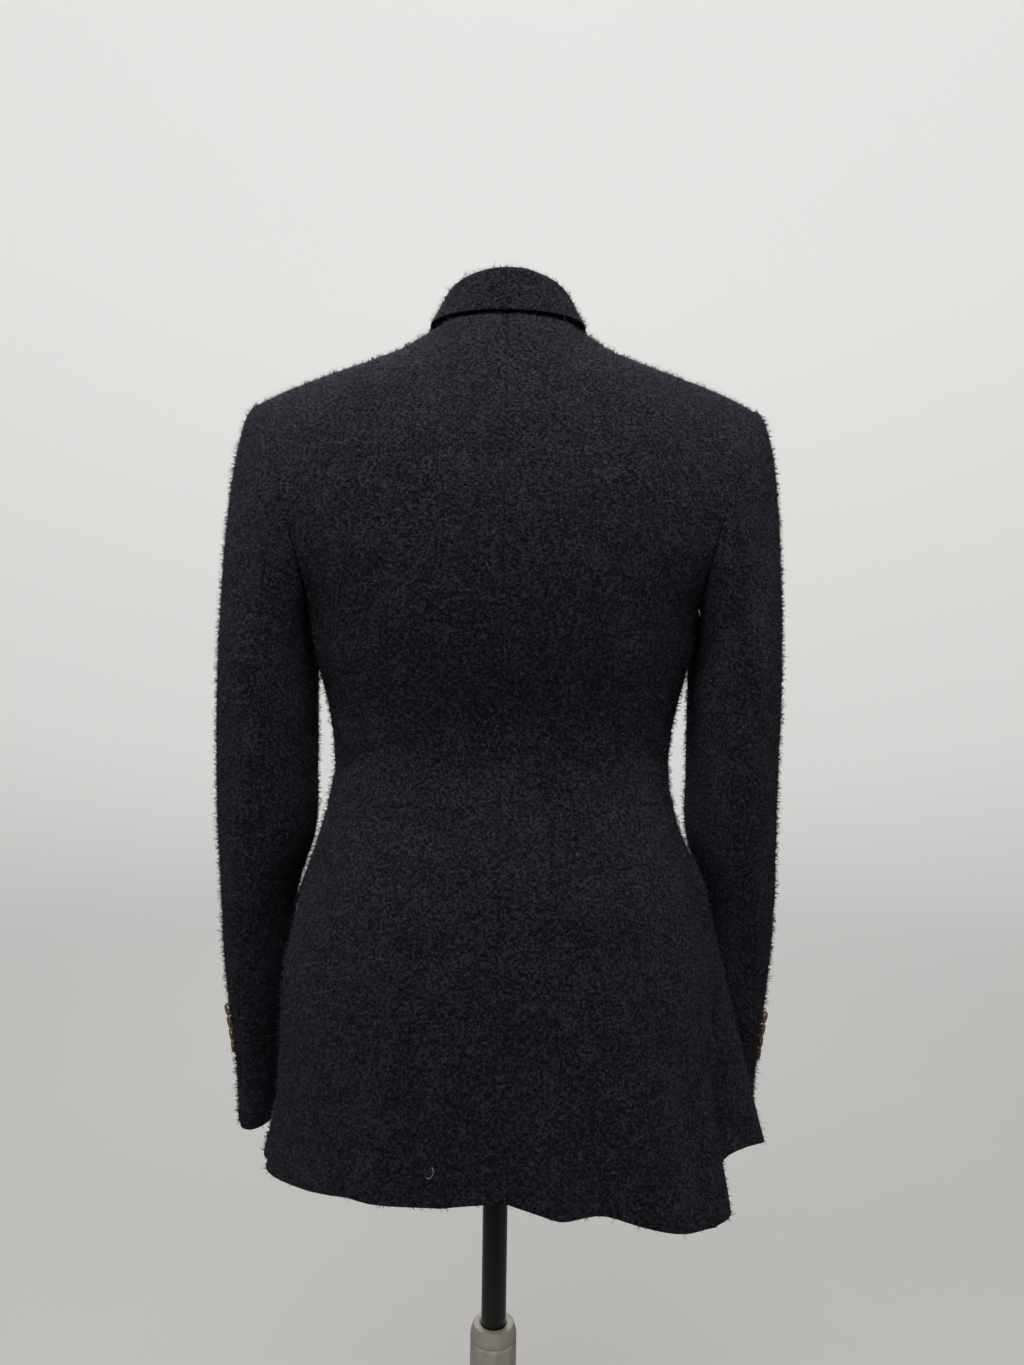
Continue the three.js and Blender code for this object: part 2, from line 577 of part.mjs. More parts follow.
// A pocket flap follows the hip and stands off it towards its free edge.
const FLAP_STAND = { left: 5.5, right: 6.5 };
function flapPoint(side, a, b) {
  const angle = rad(lerp(FLAP_FROM, FLAP_TO, a));
  const stand = side < 0 ? FLAP_STAND.right : FLAP_STAND.left;
  const surface = (i, j) => bodyPoint(side, 'side', rad(lerp(FLAP_FROM, FLAP_TO, i)), FLAP_TOP - FLAP_DROP * (1 - j));
  const p = bodyPoint(side, 'side', angle, FLAP_TOP - FLAP_DROP * (1 - b));
  return p.addScaledVector(outward(surface, a, b, side), CLOTH + 0.9 + stand * (1 - b) ** 1.3);
}

// ---------------------------------------------------------------- hard pieces
// A solid of stacked sections with flat ends.
function loft(table, columns, topRise = 0) {
  const points = [];
  for (const row of table) {
    for (let i = 0; i < columns; i += 1) {
      const angle = (i / columns) * 2 * PI;
      const depth = cos(angle) > 0 ? row.back : row.front;
      const r = (abs(sin(angle) / row.half) ** FORM_POWER + abs(cos(angle) / depth) ** FORM_POWER) ** (-1 / FORM_POWER);
      points.push([r * sin(angle), r * cos(angle), row.z]);
    }
  }
  const last = table.length - 1;
  points.push([0, 0, table[0].z], [0, 0, table[last].z + topRise]);
  const [bottom, top] = [points.length - 2, points.length - 1];
  const faces = [];
  for (let i = 0; i < columns; i += 1) {
    const next = (i + 1) % columns;
    for (let j = 0; j < last; j += 1) {
      const [a, b] = [j * columns + i, j * columns + next];
      const [c, d] = [b + columns, a + columns];
      faces.push(a, c, b, a, d, c);
    }
    faces.push(bottom, i, next);
    faces.push(top, last * columns + next, last * columns + i);
  }
  const geometry = new THREE.BufferGeometry();
  geometry.setAttribute('position', new THREE.Float32BufferAttribute(points.flat(), 3));
  geometry.setIndex(faces);
  geometry.computeVertexNormals();
  return geometry;
}

// A turned piece from a profile of radius and height, axis up.
function turned(profile, segments) {
  const geometry = new THREE.LatheGeometry(profile.map(([r, z]) => new THREE.Vector2(r, z)), segments);
  return geometry.rotateX(PI / 2);
}

const buttonShape = (radius, height) => turned([
  [0, 0], [radius * 0.8, 0], [radius, height * 0.35], [radius * 0.94, height * 0.8],
  [radius * 0.7, height], [0, height * 0.86],
], 14);

// The clamp's grip: a lobed ring for the hand.
function gripShape({ lobes, radius, depth, bore }, height) {
  const outline = new THREE.Shape();
  const count = lobes * 6;
  for (let i = 0; i < count; i += 1) {
    const angle = (i / count) * 2 * PI;
    const r = radius - depth * (0.5 - 0.5 * cos(angle * lobes));
    if (i === 0) outline.moveTo(r, 0);
    else outline.lineTo(r * cos(angle), r * sin(angle));
  }
  const hole = new THREE.Path();
  hole.absarc(0, 0, bore, 0, 2 * PI, true);
  outline.holes.push(hole);
  return new THREE.ExtrudeGeometry(outline, { depth: height, bevelEnabled: false, curveSegments: 12 });
}

// ---------------------------------------------------------------- the model
const group = new THREE.Group();
function add(name, geometry, colour) {
  const mesh = new THREE.Mesh(geometry, new THREE.MeshStandardMaterial({ side: THREE.DoubleSide, ...colour }));
  mesh.name = name;
  group.add(mesh);
  return mesh;
}

const PANELS = [
  { name: 'back', pointAt: backPoint, columns: 9, rows: PANEL_ROWS },
  { name: 'side', pointAt: sidePoint, columns: SIDE_COLUMNS.length - 1, rows: SIDE_ROWS },
  { name: 'front', pointAt: frontPoint, columns: 10, rows: PANEL_ROWS },
  { name: 'upper_sleeve', pointAt: upperSleevePoint, columns: 11, rows: 18 },
  { name: 'under_sleeve', pointAt: underSleevePoint, columns: 7, rows: 18 },
  { name: 'lapel', pointAt: lapelPoint, columns: 4, rows: 10, lift: lapelLift },
  { name: 'pocket_flap', pointAt: flapPoint, columns: 6, rows: 4 },
];
for (const [side, hand] of [[1, 'left'], [-1, 'right']]) {
  for (const { name, pointAt, columns, rows, lift } of PANELS) {
    const face = (a, b) => pointAt(side, a, b);
    const outer = lift ? lifted(face, lift, side) : face;
    add(`${name}_${hand}`, wall(outer, columns, rows, side), CLOTH_COLOUR);
  }
}
add('collar', wall(collarPoint, 24, 9, 1), CLOTH_COLOUR);

const UP = new THREE.Vector3(0, 0, 1);
const FRONT_BUTTONS = [1076, 968];
const FRONT_BUTTON = { radius: 10, height: 5 };
FRONT_BUTTONS.forEach((z, i) => {
  const button = add(`front_button_${i + 1}`, buttonShape(FRONT_BUTTON.radius, FRONT_BUTTON.height), BUTTON_COLOUR);
  const face = (height) => -read(BODY, 'z', 'front', height) - closureOut(-1, 0, height);
  const normal = new THREE.Vector3(0, -2, face(z + 1) - face(z - 1)).normalize();
  button.quaternion.setFromUnitVectors(UP, normal);
  button.position.set(0, face(z), z).addScaledVector(normal, 2 * SEAM);
});

const CUFF_BUTTONS = 4;
const CUFF_BUTTON = { radius: 5.5, height: 3.6, first: 837, pitch: 13, beforeSlit: 42 };
for (const [side, hand] of [[1, 'left'], [-1, 'right']]) {
  for (let i = 0; i < CUFF_BUTTONS; i += 1) {
    const z = CUFF_BUTTON.first - i * CUFF_BUTTON.pitch;
    const deg = read(SEAMS_UP, 'z', 'hind', z) - CUFF_BUTTON.beforeSlit;
    const ring = (a, b) => sleeveRing(side, deg + 20 * (a - 0.5), z - 20 * (b - 0.5));
    const normal = outward(ring, 0.5, 0.5, side);
    const button = add(`cuff_button_${hand}_${i + 1}`, buttonShape(CUFF_BUTTON.radius, CUFF_BUTTON.height), BUTTON_COLOUR);
    button.quaternion.setFromUnitVectors(UP, normal);
    button.position.copy(ring(0.5, 0.5)).addScaledVector(normal, SEAM);
  }
}

add('form_torso', loft(FORM, 28), FORM_COLOUR);
const CAP = [
  { z: 1462, half: 41, back: 38, front: 35 },
  { z: 1464, half: 44, back: 41, front: 38 },
  { z: 1471, half: 44, back: 41, front: 38 },
  { z: 1474, half: 41, back: 38, front: 35 },
];
add('neck_cap', loft(CAP, 24, 4), FORM_COLOUR);

add('pole', turned([[0, POLE_FOOT], [POLE_RADIUS, POLE_FOOT], [POLE_RADIUS, FORM_BOTTOM], [0, FORM_BOTTOM]], 24), STEEL_COLOUR);
add('stand_tube', turned([
  [BORE_RADIUS, BASE_THICKNESS], [TUBE_RADIUS, BASE_THICKNESS], [TUBE_RADIUS, TUBE_TOP], [BORE_RADIUS, TUBE_TOP], [BORE_RADIUS, BASE_THICKNESS],
], 24), STEEL_COLOUR);
const grip = add('clamp_grip', gripShape(GRIP, GRIP_TOP - GRIP_FOOT), PLASTIC_COLOUR);
grip.position.z = GRIP_FOOT;
add('clamp_rim', turned([
  [BORE_RADIUS, GRIP_TOP], [GRIP.radius, GRIP_TOP], [GRIP.radius, GRIP_TOP + 5], [CLAMP_TOP_RADIUS, CLAMP_TOP], [BORE_RADIUS, CLAMP_TOP], [BORE_RADIUS, GRIP_TOP],
], 24), PLASTIC_COLOUR);
add('base_plate', turned([
  [0, 0], [BASE_RADIUS, 0], [BASE_RADIUS, BASE_THICKNESS - 3], [BASE_RADIUS - 3, BASE_THICKNESS], [0, BASE_THICKNESS],
], 48), STEEL_COLOUR);

export default group;
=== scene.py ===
# %% [markdown]
# # A boucle blazer on a dress form
# The blazer is cut from a dark navy boucle, a hairy wool cloth with small curled loops in it.
# It hangs on a limbless dress form, which stands on a pole with a twist clamp.
# This lesson builds each cut piece of cloth as its own thin sheet, in the way that a tailor
# would lay it out, and gives it its folds, its seams and its hair. Heights and widths come
# from the frame, so the first cell loads it and keeps its box.

# %% Load the frame
import json
from math import atan2, cos, degrees, exp, hypot, pi, radians, sin

import bmesh
import bpy
from mathutils import Matrix, Vector, noise

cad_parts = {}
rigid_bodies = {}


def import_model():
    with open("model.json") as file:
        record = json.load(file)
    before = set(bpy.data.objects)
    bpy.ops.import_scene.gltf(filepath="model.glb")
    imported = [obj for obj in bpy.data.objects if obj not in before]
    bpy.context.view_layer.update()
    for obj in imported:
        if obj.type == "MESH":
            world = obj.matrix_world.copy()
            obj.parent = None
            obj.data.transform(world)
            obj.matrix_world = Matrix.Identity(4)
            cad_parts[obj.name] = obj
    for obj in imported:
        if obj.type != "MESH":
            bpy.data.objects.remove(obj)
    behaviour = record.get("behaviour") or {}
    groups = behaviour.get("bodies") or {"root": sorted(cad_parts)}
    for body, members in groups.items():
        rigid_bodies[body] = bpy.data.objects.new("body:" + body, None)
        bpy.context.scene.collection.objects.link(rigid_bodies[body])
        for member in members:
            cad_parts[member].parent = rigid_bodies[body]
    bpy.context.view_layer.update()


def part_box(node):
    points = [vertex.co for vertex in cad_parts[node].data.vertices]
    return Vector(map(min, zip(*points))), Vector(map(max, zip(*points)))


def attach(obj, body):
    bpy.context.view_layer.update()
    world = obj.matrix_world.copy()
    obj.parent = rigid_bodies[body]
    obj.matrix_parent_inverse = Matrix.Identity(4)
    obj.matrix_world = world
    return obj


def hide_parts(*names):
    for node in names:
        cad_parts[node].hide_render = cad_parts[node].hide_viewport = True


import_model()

# %% [markdown]
# ## The camera
# The blazer is seen from behind, from the height of its shoulder blades and less than a metre
# away, with a wide lens. The camera tips down by a little over a degree, and its horizon leans
# by one degree. A rotation matrix built in that order is easier to read than three Euler
# angles: aim first, then tip, then lean.

# %% Camera
LENS, SENSOR = 26.4, 36.0  # millimetres
CAMERA_PLACE = Vector((-0.008, 0.88, 1.15))
TIP_DOWN, LEAN = 1.05, 0.85  # degrees

camera_data = bpy.data.cameras.new("camera")
camera_data.lens = LENS
camera_data.sensor_width = SENSOR
camera_data.dof.use_dof = False
camera = bpy.data.objects.new("camera", camera_data)
bpy.context.scene.collection.objects.link(camera)
aim = Matrix.Rotation(pi, 4, "Z") @ Matrix.Rotation(radians(90 - TIP_DOWN), 4, "X")
camera.matrix_world = Matrix.Translation(CAMERA_PLACE) @ aim @ Matrix.Rotation(radians(LEAN), 4, "Z")
bpy.context.scene.camera = camera
print("camera at", tuple(camera.location))

# %% [markdown]
# ## Measures
# A tailor's tape reads in millimetres, so the tables below do too, and every point is brought
# to metres when it is placed. Each table lists a body measure at a few heights. A smooth curve
# through the rows gives the heights between them, so a few numbers hold a whole silhouette.

# %% Tape measures and smooth tables
TAPE = 0.001  # metres in a millimetre
CLOTH, SEAM = 2.4, 0.3  # thickness of the cloth, and the room left at a seam


def lerp(a, b, t):
    return a + (b - a) * t


def clamp01(value):
    return min(max(value, 0.0), 1.0)


def ramp(value, start, end):
    """A soft step from 0 at start to 1 at end."""
    t = clamp01((value - start) / (end - start))
    return t * t * (3 - 2 * t)


def read(table, column, at):
    """A smooth value between a table's rows, which are ordered by their first column."""
    keys, values = table["key"], table[column]
    last = len(keys) - 1
    i = next((n for n, key in enumerate(keys) if key > at), last)
    i = max(i, 1)
    before, after = max(i - 2, 0), min(i + 1, last)
    span = keys[i] - keys[i - 1]
    t = clamp01((at - keys[i - 1]) / span)
    slope_a = (values[i] - values[before]) / (keys[i] - keys[before]) * span
    slope_b = (values[after] - values[i - 1]) / (keys[after] - keys[i - 1]) * span
    t2, t3 = t * t, t * t * t
    start = (2 * t3 - 3 * t2 + 1) * values[i - 1] + (t3 - 2 * t2 + t) * slope_a
    return start + (3 * t2 - 2 * t3) * values[i] + (t3 - t2) * slope_b


def table(columns, *rows):
    """Columns of numbers by name; the first column orders the rows."""
    names = columns.split()
    result = {name: [row[n] for row in rows] for n, name in enumerate(names)}
    result["key"] = result[names[0]]
    return result


# %% The blazer's body
BODY = table(
    "z half back front",
    (690, 208, 121, 133), (728, 200.5, 119, 131), (778, 189.5, 117, 128), (838, 187, 113, 124),
    (889, 184.6, 109, 121), (925, 177.3, 104, 118), (959, 169.5, 99, 115), (997, 158.5, 89, 110),
    (1025, 150.5, 80, 106), (1064, 145, 72, 104), (1098, 147.5, 74, 108), (1126, 153.5, 80, 114),
    (1154, 161, 88, 122), (1200, 172, 97, 131), (1250, 206, 101, 133), (1300, 234, 101, 127),
    (1350, 250, 99, 116), (1400, 256, 97, 108),
)
SHOULDER = table(
    "x z",
    (40, 1449), (61, 1441), (70, 1436.5), (84, 1425), (100, 1415), (146, 1398), (183, 1384.5),
    (219, 1368), (240, 1355.5),
)
BACK_HEM = table(
    "x z",
    (-196, 690), (-177, 700), (-152, 714.5), (-128, 725), (-104, 724.5), (-88, 723), (-64, 727),
    (-33, 732), (-12, 735), (27, 732), (68, 729.5), (89, 730.5), (138, 732), (153, 734),
    (196, 726),
)
SIDE_HEM = table(
    "deg right left",
    (74, 713, 729), (79, 731, 730.5), (85, 743.5, 731.5), (90, 743, 732), (112, 733, 733),
)
# side (1 left, -1 right), degrees from centre back, depth, width in degrees, height of its top
SKIRT_FOLDS = (
    (-1, 63, -2.5, 5, 900), (-1, 52, 4.5, 8, 880), (-1, 24, 3.5, 10, 840),
    (1, 12, -3, 9, 830), (1, 40, 3.5, 11, 850), (1, 62, -3, 7, 840),
)
FOLDS_FULL_Z = 735
# The right side panel swings out: how far, from which height, and full at which.
SWING = ((9, 1015, 960), (26, 915, 750))
SWING_FROM, SWING_MOST, SWING_TO = 76.5, 83, 91  # degrees from centre back
YOKE_Z, SHOULDER_LEVEL, HEM_ROW_Z = 1200, 1400, 760
TRUNK_ROWS, YOKE_ROWS = 16, 8
SIDE_ROWS = 1 + TRUNK_ROWS
PANEL_ROWS = SIDE_ROWS + YOKE_ROWS
SQUARENESS = 2.8
BACK_SEAM, FRONT_SEAM = 74, 112  # degrees from centre back
NECK_HALF, NECK_BACK, NECK_RISE = 61, 48, 1
NECK_FRONT, NECK_DROP = 62, 43
SHOULDER_HALF, SHOULDER_GAP, SHOULDER_SEAM_Y = 213, 0.4, 5
SHOULDER_TURN, SHOULDER_FALL = (20, 110), 0.42  # from the neck out, the yoke turns down sooner
print("chest half width", BODY["half"][13], "waist half width", min(BODY["half"]))

# %% [markdown]
# ## The body's surface
# A fitted jacket is a tube below the arms and a leaning yoke above them. Below the underarm
# a point of it is named by an angle round the body and a height. Above, it is named by its
# share of the way out to the armhole and up to the shoulder seam, so the rows of cloth lean
# towards the neck as the real grain does. Neighbouring panels ask the same functions, and so
# their edges meet along every seam.

# %% Sections, shoulder line and yoke


def section(angle, z):
    """A point of the rounded-square section at an angle from centre back."""
    half = read(BODY, "half", z)
    depth = read(BODY, "back" if cos(angle) > 0 else "front", z)
    n = SQUARENESS
    r = (abs(sin(angle) / half) ** n + abs(cos(angle) / depth) ** n) ** (-1 / n)
    return r * sin(angle), r * cos(angle), r


EDGE_X = {
    "back": section(radians(BACK_SEAM), YOKE_Z)[0],
    "front": section(radians(FRONT_SEAM), YOKE_Z)[0],
}
EDGE_CURVE = {"back": 1.45, "front": 2.1}


def edge_half(part, t):
    """Half the width from armhole to armhole, at a share t of the way up the yoke."""
    return lerp(EDGE_X[part], SHOULDER_HALF, t ** EDGE_CURVE[part])


def top_edge(part, x):
    """Depth and height of the neck hole and of the shoulder seam."""
    u = min(abs(x) / NECK_HALF, 1)
    bow = (1 - u * u) ** 0.5
    side = SHOULDER_GAP if part == "back" else -SHOULDER_GAP
    y, z = SHOULDER_SEAM_Y + side, read(SHOULDER, "z", max(abs(x), NECK_HALF))
    if part == "back":
        return y + NECK_BACK * bow, z + NECK_RISE * bow * bow
    return y - NECK_FRONT * bow, z - NECK_DROP * bow * bow


def level_depth(part, x, level):
    """Depth of a section at a distance from its centre line."""
    out = min(abs(x) / read(BODY, "half", level), 1)
    y = read(BODY, part, level) * max(1 - out ** SQUARENESS, 0) ** (1 / SQUARENESS)
    return y if part == "back" else -y


def yoke_point(side, part, share, t):
    """A point by its share out to the armhole and its share t up to the shoulder."""
    x = share * edge_half(part, t)
    top_y, top_z = top_edge(part, share * SHOULDER_HALF)
    shoulder = ramp(abs(share) * SHOULDER_HALF, *SHOULDER_TURN)
    fall = (1 - min(t, 1) ** 3) ** lerp(1, SHOULDER_FALL, shoulder)
    y = top_y + (level_depth(part, x, lerp(YOKE_Z, SHOULDER_LEVEL, t)) - top_y) * fall
    return Vector((side * x, y, lerp(YOKE_Z, top_z, t)))


def skirt_shape(side, part, deg, z):
    """How far the skirt stands out: soft folds, and the right side panel that swings out."""
    out = 0.0
    for fold_side, place, depth, width, top in SKIRT_FOLDS:
        if fold_side == side:
            out += depth * exp(-(((deg - place) / width) ** 2)) * ramp(z, top, FOLDS_FULL_Z)
    if side < 0 and part != "back":
        reach = sum(most * ramp(z, top, low) for most, top, low in SWING)
        out += reach * ramp(deg, SWING_FROM, SWING_MOST) * ramp(deg, SWING_TO, SWING_MOST)
    return out


def body_point(side, part, angle, level, squeeze=1):
    """A point of the body; squeeze draws a front's free edge in or out in the yoke."""
    if level <= YOKE_Z or part == "side":
        x, y, _ = section(angle, level)
        out = skirt_shape(side, part, degrees(angle), level)
        return Vector((side * (x + out * sin(angle)), y + out * cos(angle), level))
    t = min((level - YOKE_Z) / (SHOULDER_LEVEL - YOKE_Z), 1)
    share = 1 + (section(angle, YOKE_Z)[0] / EDGE_X[part] - 1) * squeeze
    return yoke_point(side, part, share, t)


def body_level(b, rows, hem):
    """Rows that neighbouring panels share: one up from the hem, then even ones."""
    row = b * rows
    if row < 1:
        return lerp(hem, HEM_ROW_Z, row)
    above = row - 1 - TRUNK_ROWS
    if above <= 0:
        return HEM_ROW_Z + (row - 1) * (YOKE_Z - HEM_ROW_Z) / TRUNK_ROWS
    return YOKE_Z + above * (SHOULDER_LEVEL - YOKE_Z) / YOKE_ROWS


print("armhole edges at", {part: round(x, 1) for part, x in EDGE_X.items()}, "mm")

# %% [markdown]
# ## Back, side and front panels
# The back is two panels with a seam down the middle. A narrow side panel takes the place of
# a side seam. It runs on under the back panel below the vent, where the two are left open.
# The fronts overlap at the centre, right over left, and round away to the hem.

# %% Back panel
VENT_TOP, VENT_UNDERLAP, VENT_INSET = 845, 9, 5.2
ARMHOLE_DIP, HEM_SPREAD = 13, 1.12


def seam_angle(deg, z):
    """The angle that a seam's room takes up, in radians."""
    return SEAM / section(radians(deg), min(z, YOKE_Z))[2]


def back_point(side, a, b):
    hem = read(BACK_HEM, "z", side * EDGE_X["back"] * HEM_SPREAD * sin(a * pi / 2))
    level = body_level(b, PANEL_ROWS, hem)
    last = radians(BACK_SEAM) - seam_angle(BACK_SEAM, level) / 2
    p = body_point(side, "back", a * last, level)
    p.x += side * (SEAM / 2) * (1 - a)
    if level > YOKE_Z:
        p.x -= side * SEAM * a
    return p


# %% Side panel
SIDE_COLUMNS = (0, 2, 6, 10, 15, 22, 30, 38)  # degrees past the back seam
VENT_CLEAR, VENT_CLEAR_FROM, VENT_EASE, VENT_FULL = 0.35, 60, 25, 30
INSET_WIDTH = 5  # degrees


def side_point(side, a, b):
    hem = read(SIDE_HEM, "right" if side < 0 else "left", lerp(BACK_SEAM, FRONT_SEAM, a))
    last_row = clamp01(b * SIDE_ROWS - TRUNK_ROWS)
    level = body_level(b, SIDE_ROWS, hem) - last_row * (SEAM + ARMHOLE_DIP * sin(a * pi))
    gap = degrees(seam_angle(BACK_SEAM, level)) / 2
    clear = VENT_CLEAR * ramp(level, VENT_TOP + VENT_CLEAR_FROM, VENT_TOP + VENT_EASE)
    first = gap + clear - VENT_UNDERLAP * ramp(level, VENT_TOP, VENT_TOP - VENT_FULL)
    column = a * (len(SIDE_COLUMNS) - 1)
    i = min(int(column), len(SIDE_COLUMNS) - 2)
    start = first if i == 0 else SIDE_COLUMNS[i]
    past = lerp(start, SIDE_COLUMNS[i + 1], column - i)
    deg = BACK_SEAM + min(past, FRONT_SEAM - BACK_SEAM - gap)
    p = body_point(side, "side", radians(deg), level)
    inset = VENT_INSET * ramp(level, VENT_TOP + VENT_EASE, VENT_TOP)
    inset *= ramp(deg, BACK_SEAM + INSET_WIDTH, BACK_SEAM)
    r = hypot(p.x, p.y)
    p.x *= (r - inset) / r
    p.y *= (r - inset) / r
    return p


# %% Front panel
OVERLAP, BREAK_Z, CLOSURE_LIFT = 18, 1090, 4.4
CLOSURE_X, CLOSURE_Z = (-66, -24), (1210, 1165)
FRONT_HEM_Z, CUTAWAY, CUTAWAY_TOP = 732, 84, 925


def front_edge_x(level):
    """The free edge, as its distance past the centre: below, it rounds away."""
    cutaway = CUTAWAY * clamp01((CUTAWAY_TOP - level) / (CUTAWAY_TOP - FRONT_HEM_Z)) ** 2
    lapel = (NECK_HALF + OVERLAP) * clamp01((level - BREAK_Z) / (SHOULDER_LEVEL - BREAK_Z))
    return -OVERLAP + cutaway + lapel


def closure_out(side, x, level):
    """The right front lies over the left one along the closure."""
    return CLOSURE_LIFT * ramp(x, *CLOSURE_X) * ramp(level, *CLOSURE_Z) if side < 0 else 0.0


def edge_angle(level):
    return pi - atan2(front_edge_x(level), read(BODY, "front", level))


def front_point(side, a, b):
    level = body_level(b, PANEL_ROWS, FRONT_HEM_Z)
    first = radians(FRONT_SEAM) + seam_angle(FRONT_SEAM, level) / 2
    angle = lerp(first, edge_angle(min(level, YOKE_Z)), a)
    t = clamp01((level - YOKE_Z) / (SHOULDER_LEVEL - YOKE_Z))
    squeeze = 1
    if level > YOKE_Z:
        start_share = section(edge_angle(YOKE_Z), YOKE_Z)[0] / EDGE_X["front"]
        squeeze = (1 - front_edge_x(level) / edge_half("front", t)) / (1 - start_share)
    p = body_point(side, "front", angle, level, squeeze)
    if level > YOKE_Z:
        p.x -= side * SEAM * (1 - a)
    p.y -= closure_out(side, p.x, level)
    return p


print("front edge at the hem", round(front_edge_x(FRONT_HEM_Z), 1), "mm from the centre")

# %% [markdown]
# ## Two-piece sleeves
# A tailored sleeve has an upper and an under piece, so it can bend forwards as a resting arm
# does. Its head leaves the armhole almost level at the shoulder and turns down. Below the
# biceps the sleeve is a row of ellipses that lean forwards. The hind seam opens into a slit at
# the cuff.

# %% Sleeve surface
SLEEVE = table(
    "z left right inner y depth",
    (730, 240, 236.5, 203, -60, 52), (768, 240, 236.5, 200, -55, 53),
    (815, 242.5, 239, 197, -48, 55), (870, 247, 242.5, 191, -36, 57),
    (940, 247.5, 244, 185, -22, 59), (1000, 249.5, 243, 167, -14, 62),
    (1060, 249, 241.5, 165, -8, 66), (1150, 245.5, 240.5, 164.5, -2, 71),
    (1180, 243.5, 239, 164, 0, 73),
)
SLEEVE_SEAMS = table(
    "z hind fore",
    (730, 52, 245), (768, 60, 246), (845, 78, 248), (910, 86, 250), (1100, 95, 250),
    (1300, 108, 250),
)
HEAD_Z, BICEPS_Z, CUFF_Z, HEAD_SHARE = 1300, 1150, 730, 0.36
HEAD_SLOPE = (12, 80)  # degrees below level that the sleeve leaves at, at its top and under it
HEAD_LEAVE, HEAD_ARRIVE = (0.32, 0.45), 0.8  # shares of the way that the curve keeps its course
TUCK, TUCK_FADE = 0.004, 8  # the share of the sleeve that is tucked under the armhole seam
CUFF_SLIT_TOP, CUFF_SLIT_WIDTH = 845, 4.5
UNDERARM_FROM, UNDERARM_TO = 150, 210
ARM_RADIUS, CUFF_RADIUS = 45, 42
SLEEVE_GAP = degrees(SEAM / 2 / ARM_RADIUS)


def armhole(side, deg):
    """The armhole, by an angle from the shoulder tip backwards: 180 is under the arm."""
    if deg <= UNDERARM_FROM or deg >= UNDERARM_TO:
        part = "back" if deg <= UNDERARM_FROM else "front"
        share = deg / UNDERARM_FROM if part == "back" else (360 - deg) / (360 - UNDERARM_TO)
        t = max(cos(pi / 2 * share), 0) ** 0.9
        seam = radians(BACK_SEAM if part == "back" else FRONT_SEAM)
        return body_point(side, part, seam, lerp(YOKE_Z + 0.01, SHOULDER_LEVEL, t))
    a = (deg - UNDERARM_FROM) / (UNDERARM_TO - UNDERARM_FROM)
    x, y, _ = section(radians(lerp(BACK_SEAM, FRONT_SEAM, a)), YOKE_Z)
    return Vector((side * x, y, YOKE_Z - ARMHOLE_DIP * sin(a * pi)))


def sleeve_ring(side, deg, z):
    """A point of the sleeve below the biceps, on an ellipse."""
    outer = read(SLEEVE, "left" if side > 0 else "right", z)
    inner = read(SLEEVE, "inner", z)
    x = (outer + inner) / 2 + (outer - inner) / 2 * cos(radians(deg))
    y = read(SLEEVE, "y", z) + read(SLEEVE, "depth", z) * sin(radians(deg))
    return Vector((side * x, y, z))


def sleeve_point(side, deg, b):
    """A point of the sleeve at a share b down it: 0 is the armhole, 1 the cuff."""
    if b >= HEAD_SHARE:
        return sleeve_ring(side, deg, sleeve_level(b))
    b -= TUCK * (1 - b) ** TUCK_FADE
    start, end = armhole(side, deg), sleeve_ring(side, deg, BICEPS_Z)
    under = (1 - cos(radians(deg))) / 2
    slope = radians(lerp(*HEAD_SLOPE, under ** 0.8))
    length = (end - start).length
    leave = Vector((side * cos(slope), 0, -sin(slope))) * length * lerp(*HEAD_LEAVE, under)
    arrive = Vector((0, 0, -length * HEAD_ARRIVE))
    t = b / HEAD_SHARE
    t2, t3 = t * t, t * t * t
    first = start * (2 * t3 - 3 * t2 + 1) + leave * (t3 - 2 * t2 + t)
    return first + end * (3 * t2 - 2 * t3) + arrive * (t3 - t2)


def sleeve_level(b):
    """About how high the sleeve is at a share b down it."""
    if b < HEAD_SHARE:
        return lerp(HEAD_Z, BICEPS_Z, b / HEAD_SHARE)
    return lerp(BICEPS_Z, CUFF_Z, (b - HEAD_SHARE) / (1 - HEAD_SHARE))


def sleeve_seams(b):
    """The hind and fore seams, and half of the cuff's slit, in degrees round the sleeve."""
    z = sleeve_level(b)
    slit = CUFF_SLIT_WIDTH * clamp01((CUFF_SLIT_TOP - z) / (CUFF_SLIT_TOP - CUFF_Z))
    half_slit = degrees(slit / 2 / CUFF_RADIUS)
    return read(SLEEVE_SEAMS, "hind", z), read(SLEEVE_SEAMS, "fore", z), half_slit


def upper_sleeve_point(side, a, b):
    hind, fore, slit = sleeve_seams(b)
    deg = lerp(fore + SLEEVE_GAP, 360 + hind - SLEEVE_GAP - slit, a) % 360
    return sleeve_point(side, deg, b)


def under_sleeve_point(side, a, b):
    hind, fore, slit = sleeve_seams(b)
    return sleeve_point(side, lerp(hind + SLEEVE_GAP + slit, fore - SLEEVE_GAP, a), b)


print("sleeve head falls", SHOULDER_LEVEL - BICEPS_Z, "mm, arm", BICEPS_Z - CUFF_Z, "mm")

# %% [markdown]
# ## Lapels, collar and flaps
# These lie on other cloth, so each is the surface below it, lifted by the thickness of what
# lies under. The collar is one strip: it stands up from the neck seam, rolls over a small
# radius, and falls on the back.

# %% Lapel, collar and pocket flap surfaces
GORGE_IN, GORGE_OUT = 1377, 1335
LAPEL_FOOT = {1: 1172, -1: 1114}
LAPEL_WIDTH, LAPEL_START, LAPEL_LIFT, LAPEL_RISE = 84, 3, 4.4, 2.6
NECK_SHARE, GORGE_LEVEL, FOLD_RADIUS = 0.55, 1381, 3.4
STAND_SHARE, FALL_SHARE = 0.36, 0.62
SEAM_IN, SEAM_UP = 1.7, 0.9
